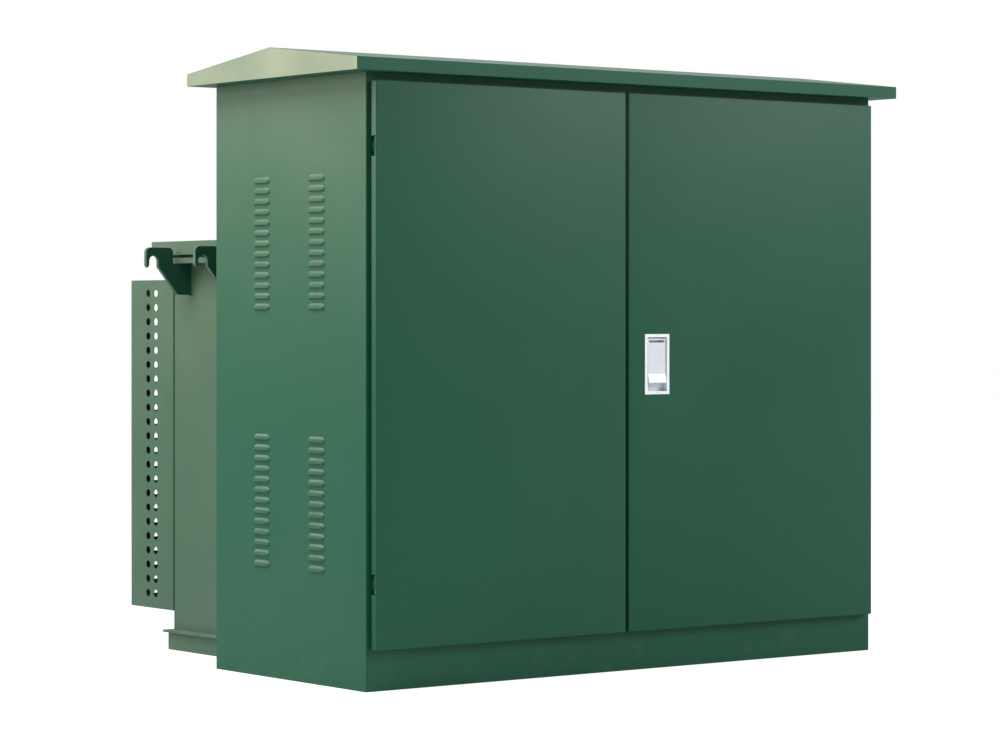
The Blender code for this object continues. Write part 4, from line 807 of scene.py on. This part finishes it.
def make_lugs():
    beads = bmesh.new()
    top = COVER[0].z - COVER_GAP - RIM_THICKNESS - 0.001
    for side, sign in (("left", -1), ("right", 1)):
        for place in ("front", "rear"):
            node = f"lifting_lug_{side}_{place}"
            refine(node, "tank_paint", 0.0028, 4, 50)
            low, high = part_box(node)
            x = sign * HALF_TANK
            for y in (low.y, high.y):
                add_tube(beads, [(x, y, low.z), (x, y, top)], WELD)
            add_tube(beads, [(x, low.y, low.z), (x, high.y, low.z)], WELD)
    new_object("lug_welds", beads, "tank_paint", smooth_angle=60)


FIN_THICKNESS = 0.008
FIN_COUNT = 26
FIN_HEADER = 0.0043
FIN_TIE = {"radius": 0.0055, "inset": 0.016, "end": 0.12, "spacer": 0.0078, "half": 0.0052}
FIN_SEAM = {"end": 0.012, "half": 0.004, "proud": 0.0006}


def make_fins():
    low, high = FINS
    half = FIN_THICKNESS / 2
    root, tie_y = low.y + FIN_HEADER, high.y - FIN_TIE["inset"]
    centres = spread(low.x + half, high.x - half, FIN_COUNT)
    builder, ties, seams = bmesh.new(), bmesh.new(), bmesh.new()
    add_box(builder, low, (high.x, root, high.z))
    for x in centres:
        outline = [(x - half, low.y + FIN_HEADER / 2), (x + half, low.y + FIN_HEADER / 2)]
        outline += arc((x, high.y - half), half, 0, 180, 8)
        add_prism(builder, outline, "Z", low.z + 0.001, high.z - 0.001)
        side = half + FIN_SEAM["proud"]
        for z in (low.z + FIN_SEAM["end"], high.z - FIN_SEAM["end"]):
            add_box(seams, (x - side, root, z - FIN_SEAM["half"]),
                    (x + side, high.y - half, z + FIN_SEAM["half"]))
    spacer = [(FIN_TIE["spacer"], -FIN_TIE["half"]), (FIN_TIE["spacer"], FIN_TIE["half"])]
    for z in (low.z + FIN_TIE["end"], (low.z + high.z) / 2, high.z - FIN_TIE["end"]):
        add_tube(ties, [(low.x + half, tie_y, z), (high.x - half, tie_y, z)], FIN_TIE["radius"], 16)
        for x in centres:
            add_turned(ties, spacer, (x, tie_y, z), (1, 0, 0), 16)
    fins = new_object("fin_bank", builder, "tank_paint", HOUSING, ("radiator_fins",))
    round_edges(fins, 0.0012, 2, 50)
    new_object("fin_tie_rods", ties, "tank_paint")
    round_edges(new_object("fin_seams", seams, "tank_paint"), 0.0005, 2)


GUARD = {"sheet": 0.0025, "lip": 0.025, "fold": 0.004, "gap": 0.009, "hole": 0.013, "rows": 22,
         "pitch": 0.0495, "lowest": 0.183, "column": 0.049, "side": 0.1156, "rear": 0.100,
         "bracket": 0.018, "bracket_half": 0.0075, "bolt": 0.010}


def make_guard(node, sign):
    """The perforated sheet, folded round the fin bank's corner."""
    low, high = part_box(node)
    outer, rear, sheet = HALF_TANK, high.y, GUARD["sheet"]
    edge, inner_end = outer - GUARD["lip"], min(abs(low.x), abs(high.x))
    fold, front = GUARD["fold"], TANK_REAR - 0.0003 + GUARD["gap"]
    outline = [(edge, front)] + arc((outer - fold, front + fold), fold, 270, 360, 5)
    outline += arc((outer - fold, rear - fold), fold, 0, 90, 5)
    outline += [(inner_end, rear), (inner_end, rear - sheet)]
    outline += arc((outer - fold, rear - fold), fold - sheet, 90, 0, 5)
    outline += arc((outer - fold, front + fold), fold - sheet, 360, 270, 5) + [(edge, front + sheet)]
    builder = bmesh.new()
    add_prism(builder, [(sign * x, y) for x, y in outline], "Z", low.z, high.z)
    guard = new_object(node + "_sheet", builder, "tank_paint", HOUSING, (node,))
    cutter, hole = bmesh.new(), disc(GUARD["hole"], 0, 4 * sheet)
    for row in range(GUARD["rows"]):
        z = GUARD["lowest"] + row * GUARD["pitch"]
        for column in (0, GUARD["column"]):
            side = (sign * (outer - 2 * sheet), rear - GUARD["side"] - column, z)
            back = (sign * (outer - GUARD["rear"] - column), rear - 2 * sheet, z)
            add_turned(cutter, hole, side, (sign, 0, 0), 28)
            add_turned(cutter, hole, back, REARWARD, 28)
    round_edges(subtract(guard, cutter), 0.0005, 2, 60)
    brackets = bmesh.new()
    start, end = sorted((sign * edge, sign * (edge + GUARD["bracket"])))
    levels = (low.z + GUARD["lip"], (low.z + high.z) / 2, high.z - GUARD["lip"])
    half = GUARD["bracket_half"]
    for z in levels:
        add_box(brackets, (start, TANK_REAR, z - half), (end, front + 0.001, z + half))
    round_edges(new_object(node + "_brackets", brackets, "tank_paint"), 0.0008, 2)
    make_bolts(node + "_bolts", [(sign * (edge + GUARD["bolt"]), front + sheet, z) for z in levels],
               REARWARD, size=0.006)


def make_insides():
    refine("core", "laminations", 0.002, 2)
    for number in (1, 2, 3):
        refine(f"winding_{number}", "wound_paper", 0.006, 4)


make_tank()
make_lugs()
make_fins()
make_guard("radiator_guard_left", -1)
make_guard("radiator_guard_right", 1)
make_insides()


# ---- fittings on the tank's front wall
def on_wall(node, above_bottom=None):
    """Where a fitting's axis meets the tank's front wall."""
    low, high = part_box(node)
    height = (low.z + high.z) / 2 if above_bottom is None else low.z + above_bottom
    return Vector(((low.x + high.x) / 2, TANK_FRONT, height))


def make_turned(name, profile, origin, finish, body=HOUSING, replaced=(), facing=OUTWARD,
                sides=44):
    """A turned piece of its own; its profile is in millimetres."""
    builder = bmesh.new()
    add_turned(builder, [(radius * MM, along * MM) for radius, along in profile], origin, facing,
               sides)
    new_object(name, builder, finish, body, replaced)


def ring_of_bolts(name, centre, radius, out, size):
    """Four bolts on a flange's diagonals."""
    offset = radius * math.sqrt(0.5)
    make_bolts(name, [(centre.x + across, centre.y - out, centre.z + up)
                      for across in (offset, -offset) for up in (offset, -offset)], size=size)


def add_ring(builder, centre, radius, tube, axes, sides=12):
    """Adds a round bar bent to a ring in the plane of two axes."""
    points = []
    for spot in circle(radius, 36):
        point = Vector(centre)
        for axis, offset in zip(axes, spot):
            point["XYZ".index(axis)] += offset
        points.append(point)
    add_tube(builder, points, tube, sides, closed=True)


def make_eye(name, centre, radius, tube, axes, body=HOUSING):
    builder = bmesh.new()
    add_ring(builder, centre, radius, tube, axes)
    new_object(name, builder, "bolt_steel", body)


def make_text(name, words, place, size):
    """Raised black lettering that faces the doors."""
    curve = bpy.data.curves.new(name, "FONT")
    curve.body, curve.size, curve.extrude = words, size, 0.0001
    curve.align_x, curve.align_y = "CENTER", "CENTER"
    guide = bpy.data.objects.new(name + "_guide", curve)
    bpy.context.scene.collection.objects.link(guide)
    graph = bpy.context.evaluated_depsgraph_get()
    builder = bmesh.new()
    builder.from_mesh(bpy.data.meshes.new_from_object(guide.evaluated_get(graph)))
    bpy.data.objects.remove(guide)
    turn = Matrix.Translation(place) @ Matrix.Rotation(math.radians(90), 4, "X")
    bmesh.ops.transform(builder, matrix=turn, verts=builder.verts)
    new_object(name, builder, "black_moulding")


def make_hv_bushings():
    flange = [(18.5, 0.6), (55, 0.6), (55, 12.5), (53.5, 14.5), (36, 15)]
    insulator = [(0, -40), (18, -40), (18, 10), (39.5, 14.5), (40, 22), (38.5, 28), (34.5, 60),
                 (34, 100), (0, 100)]
    cap = [(0, 98.5), (40.5, 98.5), (43.2, 99.5), (44, 102), (44, 118), (42.4, 120.5), (42.4, 125.5),
           (44, 128), (44, 140), (41.5, 146.5), (30, 158), (21.5, 169), (19.5, 171.2), (0, 171.5)]
    for number in (1, 2, 3):
        node = f"hv_bushing_{number}"
        at = on_wall(node)
        make_turned(node + "_flange", flange, at, "zinc", replaced=(node,))
        ring_of_bolts(node + "_bolts", at, 0.0465, 0.0148, 0.0060)
        make_turned(node + "_insulator", insulator, at, "resin")
        make_turned(node + "_cap", cap, at, "rubber")
        make_eye(node + "_eye", (at.x, at.y - 0.1695, at.z), 0.0075, 0.0022, "XY")


SPADE = {"half": 0.006, "reach": 0.040, "root": 0.077, "holes": 0.166, "offset": 0.0225,
         "hole": 0.007}                 # root and holes are measured from the tank's wall


def make_spade(name, at, front):
    """A flat terminal with four bolt holes, set on edge."""
    half, reach, offset = SPADE["half"], SPADE["reach"], SPADE["offset"]
    builder = bmesh.new()
    outline = rounded_rectangle((front, at.z - reach), (at.y - SPADE["root"], at.z + reach), 0.006, 5)
    add_prism(builder, outline, "X", at.x - half, at.x + half)
    spade = new_object(name, builder, "tin")
    middle = at.y - SPADE["holes"]
    places = [(at.x - 2 * half, middle + along, at.z + up)
              for along in (-offset, offset) for up in (-offset, offset)]
    round_edges(cut_holes(spade, SPADE["hole"], 4 * half, places, (1, 0, 0)), 0.0006, 2, 50)


def make_lv_bushings():
    flange = [(20.5, 0.6), (50, 0.6), (50, 10), (48.5, 12), (30, 12.2)]
    insulator = [(0, -40), (20, -40), (20, 8), (37.5, 11.5), (38, 19)]
    for shed in (22, 37, 52):
        insulator += [(31.5, shed), (30.8, shed + 8), (34.5, shed + 10), (35, shed + 13)]
    insulator += [(28, 69), (26.5, 75), (0, 75)]
    for number in (1, 2, 3, 4):
        node = f"lv_bushing_{number}"
        at = on_wall(node)
        make_turned(node + "_flange", flange, at, "zinc", replaced=(node,))
        ring_of_bolts(node + "_bolts", at, 0.0435, 0.0120, 0.0052)
        make_turned(node + "_insulator", insulator, at, "resin")
        make_turned(node + "_nut", disc(22, 74.5, 83.5, (2.5, 2.5)), at, "brass", sides=HEX_SIDES)
        make_turned(node + "_stud", disc(16, 74, 91.5, (1.2, 1)), at, "tin")
        make_spade(node + "_spade", at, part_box(node)[0].y)


def make_fuses():
    """Draw-out holders: a tube into the tank and a grooved cap with a hookstick's eye."""
    tube = [(0, -270), (14.5, -270), (15.8, -268.5), (15.8, 7), (0, 7)]
    cap = [(0, 6.2), (24.8, 6.2), (26, 7.5)]
    for groove in (14, 24, 34):
        cap += [(26, groove), (24, groove + 1.4), (24, groove + 3.6), (26, groove + 5)]
    cap += [(26, 52), (24.5, 55), (14.5, 61), (12, 62.5), (0, 63)]
    for number in (1, 2, 3):
        node, body = f"fuse_holder_{number}", f"fuse_{number}"
        at = on_wall(node)
        make_turned(f"fuse_socket_{number}", disc(31, 0.5, 5.2, (1.5, 1), 17.5), at, "zinc")
        make_turned(node + "_tube", tube, at, "resin", body, (node,))
        make_turned(node + "_cap", cap, at, "black_moulding", body)
        make_eye(node + "_eye", (at.x, at.y - 0.0585, at.z), 0.0065, 0.0019, "YZ", body)


def make_handle(node, body, hub, length, finish):
    """A shaft, a hub and a lever that points up; hub is a radius, length is from the axis."""
    at = on_wall(node, hub)
    make_turned(node + "_shaft", [(0, -40), (9, -40), (10, -39), (10, 5), (0, 5)], at, "bolt_steel",
                body, (node,))
    rim = hub / MM
    make_turned(node + "_hub", [(0, 0.8), (rim - 2, 0.8), (rim, 2.8), (rim, 26.5), (rim - 3, 29.8),
                                (0, 30)], at, finish, body)
    half = 0.011
    outline = rounded_rectangle((at.x - half, at.z - hub / 2), (at.x + half, at.z + length), 0.0105, 6)
    builder = bmesh.new()
    add_prism(builder, outline, "Y", at.y - 0.0398, at.y - 0.0290)
    lever = new_object(node + "_lever", builder, finish, body)
    hole = (at.x, at.y - 0.02, at.z + length - 0.0130)
    round_edges(cut_holes(lever, 0.0055, 0.03, [hole], OUTWARD, 24), 0.0014, 3, 50)
    make_bolts(node + "_bolt", [(at.x, at.y - 0.0396, at.z)], body=body, size=0.008)
    return at


def make_tag(name, words, x, z, size=(0.046, 0.022)):
    """A small riveted plate with one word on it, or none."""
    builder, rivets = bmesh.new(), bmesh.new()
    front, half_width, half_height = TANK_FRONT - 0.0013, size[0] / 2, size[1] / 2
    outline = rounded_rectangle((x - half_width, z - half_height), (x + half_width, z + half_height),
                                0.002, 3)
    add_prism(builder, outline, "Y", front, TANK_FRONT - 0.0004)
    round_edges(new_object(name, builder, "nameplate"), 0.0002, 2)
    for side in (-1, 1):
        add_turned(rivets, [(0.0016, 0), (0.0013, 0.0005), (0, 0.0008)],
                   (x + side * (half_width - 0.0035), front, z), OUTWARD, 16)
    new_object(name + "_rivets", rivets, "bolt_steel")
    if words:
        make_text(name + "_text", words, (x, front - 0.0001, z), size[1] * 0.62)


def make_handles():
    at = make_handle("switch_handle", "switch", 0.032, 0.120, "signal_red")
    make_tag("switch_on_tag", "ON", at.x, at.z + 0.145)
    make_tag("switch_off_tag", "OFF", at.x + 0.090, at.z - 0.030)
    at = make_handle("tap_changer_handle", "tap_changer", 0.026, 0.050, "black_moulding")
    make_turned("tap_changer_dial", disc(80, 0.4, 1.4, (0.5, 0.2), 29), at, "nameplate", sides=72)
    for number in range(5):
        place = round_dial(at, 30 * number, 0.067, 0.0015)
        make_text(f"tap_number_{number + 1}", str(number + 1), place, 0.016)


def round_dial(centre, turn, radius, out):
    """A place on a dial, turn degrees clockwise from its top and out from the wall."""
    angle = math.radians(90 - turn)
    return (centre.x + radius * math.cos(angle), centre.y - out, centre.z + radius * math.sin(angle))


def make_dial_face(name, centre, labels, needle_turn):
    """A glazed round gauge: case, white face, graduations, needle and glass."""
    case = [(0, 4.2), (24, 4.2), (24, 23.5), (26.2, 25.2), (46, 25.8), (48, 28), (48, 48.2),
            (46.6, 49.9), (44.6, 49.9), (43.6, 48.8), (43.6, 46.4), (0, 46.4)]
    make_turned(name + "_case", case, centre, "black_moulding", sides=64)
    make_turned(name + "_face", disc(43.5, 46.3, 46.8), centre, "dial_face", sides=64)

    def turned(degrees, out):
        return (Matrix.Translation((centre.x, centre.y - out, centre.z))
                @ Matrix.Rotation(math.radians(degrees), 4, "Y"))

    ticks = bmesh.new()
    for i in range(31):
        width, inner = (0.0006, 0.0335) if i % 5 == 0 else (0.0003, 0.0365)
        for vert in add_box(ticks, (-width, -0.0002, inner), (width, 0.0, 0.0405)):
            vert.co = turned(-135 + 9 * i, 0.0469) @ vert.co
    new_object(name + "_ticks", ticks, "black_moulding")
    for turn, words in labels:
        make_text(f"{name}_label_{words}", words, round_dial(centre, turn, 0.0255, 0.0470), 0.0085)
    needle = bmesh.new()
    add_prism(needle, [(-0.0014, -0.010), (0.0014, -0.010), (0.0007, 0.034), (-0.0007, 0.034)], "Y",
              -0.0008, 0.0)
    bmesh.ops.transform(needle, matrix=turned(needle_turn, 0.0474), verts=needle.verts)
    new_object(name + "_needle", needle, "signal_red")
    make_turned(name + "_needle_hub", [(0, 47), (4, 47), (4, 48.2), (3, 48.7), (0, 48.8)], centre,
                "black_moulding")
    make_turned(name + "_glass", disc(43.8, 48.9, 49.5), centre, "gauge_glass", sides=64)


def make_gauges():
    low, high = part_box("tank_gauges")
    radius, middle, front = (high.z - low.z) / 2, (low.z + high.z) / 2, TANK_FRONT - 0.0043
    builder = bmesh.new()
    add_prism(builder, rounded_rectangle((low.x, low.z), (high.x, high.z), 0.012, 6), "Y", front,
              TANK_FRONT - 0.0004)
    plate = new_object("gauge_plate", builder, "black_moulding", HOUSING, ("tank_gauges",))
    round_edges(plate, 0.0006, 2, 50)
    inset = 0.008
    make_bolts("gauge_plate_bolts", [(x, front, z) for x in (low.x + inset, high.x - inset)
                                     for z in (low.z + inset, high.z - inset)], size=0.005)
    make_dial_face("oil_level_gauge", Vector((low.x + radius, TANK_FRONT, middle)),
                   ((-105, "MIN"), (105, "MAX")), 20)
    degrees = [(-135 + 45 * i, str(20 * i)) for i in range(7)]
    make_dial_face("thermometer", Vector((high.x - radius, TANK_FRONT, middle)), degrees, -80)


def make_relief_valve():
    node = "pressure_relief_valve"
    at = on_wall(node)
    make_turned(node + "_base", [(0, 0.6), (21.5, 0.6), (21.5, 19), (19, 21.5), (0, 21.7)], at,
                "brass", replaced=(node,), sides=HEX_SIDES)
    make_turned(node + "_body", [(15, 20), (15.5, 30), (14, 31.5), (14, 34.5), (15.5, 36), (15.5, 51),
                                 (9.5, 62), (8, 64.8), (0, 65)], at, "brass")
    make_eye(node + "_ring", (at.x, at.y - 0.0585, at.z - 0.0125), 0.0110, 0.0011, "XZ")


def make_drain_valve():
    """A brass angle valve: what lies along the pipe, then what stands on it."""
    low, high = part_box("drain_valve_body")
    at = Vector(((low.x + high.x) / 2, TANK_FRONT, low.z + 0.030))
    axis = Vector((at.x, low.y + 0.060, at.z))
    rise = (high.z - at.z) / MM
    make_turned("drain_flange", disc(30, 0.5, 9.5, (1.5, 1.5), 16.5), at, "zinc",
                replaced=("drain_valve_body",))
    barrel = [(0, 0.5), (16, 0.6), (16, 46), (20, 49), (28.5, 53), (30, 60), (30, 100), (28.5, 107),
              (20, 111), (16, 113), (16, 130), (0, 130)]
    plug = [(0, 129), (18.5, 129), (18.5, 137.5), (17, 139), (0, 139.2)]
    bonnet = [(5.5, 10), (23, 18), (20, 30), (18, 33), (18, 36), (5.5, 36.5)]
    gland = [(5.6, 36), (16.5, 36), (16.5, rise - 8), (15, rise - 6), (5.6, rise - 5.8)]
    packing = [(5.6, rise - 7), (9.8, rise - 7), (9.8, rise - 0.8), (9, rise), (5.6, rise)]
    for name, profile, origin, facing, sides in (
            ("drain_barrel", barrel, at, OUTWARD, 44), ("drain_plug", plug, at, OUTWARD, HEX_SIDES),
            ("drain_bonnet", bonnet, axis, UPWARD, 44), ("drain_gland", gland, axis, UPWARD, HEX_SIDES),
            ("drain_packing", packing, axis, UPWARD, 44)):
        make_turned(name, profile, origin, "brass", facing=facing, sides=sides)
    make_drain_wheel(axis)


def make_drain_wheel(axis):
    low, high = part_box("drain_wheel")
    level = high.z - 0.005
    hub = Vector((axis.x, axis.y, level))
    builder = bmesh.new()
    add_ring(builder, hub, 0.040, 0.0049, "XY", 16)
    for reach in circle(1.0, 5):
        add_tube(builder, [hub + reach * 0.007 - Vector((0, 0, 0.002)),
                           hub + reach * 0.022 - Vector((0, 0, 0.001)), hub + reach * 0.038],
                 0.0030, 12)
    add_turned(builder, [(0, -0.0060), (0.0105, -0.0060), (0.0112, -0.0030), (0.0100, 0.0030),
                         (0.0085, 0.0042), (0, 0.0044)], hub, UPWARD, 32)
    new_object("drain_handwheel", builder, "signal_red", "drain", ("drain_wheel",))
    foot = (low.z - level) / MM
    make_turned("drain_stem", [(0, foot), (4.6, foot), (5, foot + 0.6), (5, 5), (0, 5)], hub,
                "bolt_steel", "drain", facing=UPWARD, sides=24)
    make_turned("drain_wheel_nut", [(0, 4.2), (6.8, 4.2), (6.8, 8.6), (5.8, 9.6), (0, 9.7)], hub,
                "bolt_steel", "drain", facing=UPWARD, sides=HEX_SIDES)


def make_ground_bar():
    """A drilled copper bar on two feet, with bolts in its ends and every other hole."""
    low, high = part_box("ground_bar")
    front, back, middle = low.y, low.y + 0.008, (low.z + high.z) / 2
    margin, count = 0.050, 6
    pitch = (high.x - low.x - 2 * margin) / count
    builder, feet = bmesh.new(), bmesh.new()
    add_prism(builder, rounded_rectangle((low.x, low.z), (high.x, high.z), 0.004, 4), "Y", front, back)
    bar = new_object("ground_bar_plate", builder, "copper", HOUSING, ("ground_bar",))
    holes = [low.x + margin + pitch * (i + 0.5) for i in range(count)]
    cut_holes(bar, 0.007, 0.03, [(x, front + 0.02, middle) for x in holes], OUTWARD)
    round_edges(bar, 0.0006, 2, 50)
    ends, half = (low.x + margin / 2, high.x - margin / 2), (high.z - low.z) / 4
    for x in ends:
        add_box(feet, (x - half, back - 0.0002, low.z + 0.001),
                (x + half, TANK_FRONT - 0.0003, high.z - 0.001))
    round_edges(new_object("ground_bar_feet", feet, "copper"), 0.0010, 2)
    make_bolts("ground_bar_bolts", [(x, front, middle) for x in (*ends, *holes[::2])])


make_hv_bushings()
make_lv_bushings()
make_fuses()
make_handles()
make_gauges()
make_relief_valve()
make_drain_valve()
make_ground_bar()
make_tag("blank_nameplate", "", 0.450, 0.560, (0.160, 0.110))


# ---- camera and the studio
CAMERA_PLACE = (-6.7997, -9.0568, 1.1453)
CAMERA_TURN = 37.328                    # degrees from +Y towards +X
CAMERA_LENS = 118.65
CAMERA_SHIFT = -0.0594
FLOOR_GLOW = 1.36
FLOOR_GLOW_SHARE = 0.62


def make_camera():
    camera = bpy.data.objects.new("camera", bpy.data.cameras.new("camera"))
    camera.data.sensor_width = 36.0
    camera.data.lens = CAMERA_LENS
    camera.data.shift_y = CAMERA_SHIFT
    camera.location = CAMERA_PLACE
    camera.rotation_euler = (math.radians(90), 0, math.radians(-CAMERA_TURN))
    camera.data.clip_end = 200
    bpy.context.scene.collection.objects.link(camera)
    bpy.context.scene.camera = camera


def add_light(name, place, target, size, power, colour):
    light = bpy.data.lights.new(name, "AREA")
    light.shape = "RECTANGLE"
    light.size, light.size_y = size
    light.energy = power
    light.color = colour
    lamp = bpy.data.objects.new(name, light)
    lamp.location = place
    lamp.rotation_euler = (Vector(target) - Vector(place)).to_track_quat("-Z", "Y").to_euler()
    bpy.context.scene.collection.objects.link(lamp)


def make_lights():
    add_light("front_softbox", (6.2, -6.6, 5.4), (0.4, -0.8, 0.9), (6.0, 4.0), 680, (1.0, 1.0, 1.0))
    add_light("left_softbox", (-6.9, 2.6, 3.2), (-1.0, 0.2, 1.2), (2.6, 2.6), 250, (1.0, 0.95, 0.82))
    add_light("top_softbox", (-4.2, 0.2, 5.8), (-0.8, 0.0, 1.0), (3.6, 3.6), 520, (0.97, 1.0, 0.98))


def make_world():
    """A white surround to look at and reflect, and a softer one to light by."""
    world = bpy.data.worlds.new("studio")
    bpy.context.scene.world = world
    world.use_nodes = True
    wiring = Wiring(world.node_tree)
    light_by = wiring.tree.nodes["Background"]
    light_by.inputs["Color"].default_value = (0.80, 0.86, 0.90, 1)
    light_by.inputs["Strength"].default_value = 0.55
    white = wiring.add("ShaderNodeBackground", {"Color": (1, 1, 1)})
    rays = wiring.add("ShaderNodeLightPath").outputs
    shiny = wiring.math("MAXIMUM", rays["Is Glossy Ray"], rays["Is Transmission Ray"])
    seen = wiring.math("MAXIMUM", rays["Is Camera Ray"], shiny)
    surround = wiring.blend(seen, light_by.outputs[0], white.outputs[0])
    wiring.feed(wiring.tree.nodes["World Output"].inputs["Surface"], surround)


def make_floor():
    """A pale floor that glows to the camera, so that only the object's shadow shows on it."""
    builder = bmesh.new()
    bmesh.ops.create_circle(builder, cap_ends=True, radius=60, segments=64)
    bmesh.ops.translate(builder, vec=(0, 0, -0.0005), verts=builder.verts)
    floor = link_mesh("floor", builder)
    material = bpy.data.materials.new("floor")
    material.use_nodes = True
    wiring = Wiring(material.node_tree)
    shader = wiring.tree.nodes["Principled BSDF"]
    shader.inputs["Base Color"].default_value = (0.80, 0.80, 0.80, 1)
    shader.inputs["Roughness"].default_value = 0.9
    shader.inputs["Specular IOR Level"].default_value = 0.1
    glow = wiring.add("ShaderNodeEmission", {"Strength": FLOOR_GLOW})
    camera_ray = wiring.add("ShaderNodeLightPath").outputs["Is Camera Ray"]
    share = wiring.math("MULTIPLY", camera_ray, FLOOR_GLOW_SHARE)
    surface = wiring.blend(share, shader.outputs[0], glow.outputs[0])
    wiring.feed(wiring.tree.nodes["Material Output"].inputs["Surface"], surface)
    floor.data.materials.append(material)


make_camera()
make_lights()
make_world()
make_floor()
bpy.context.scene.view_settings.view_transform = "Standard"
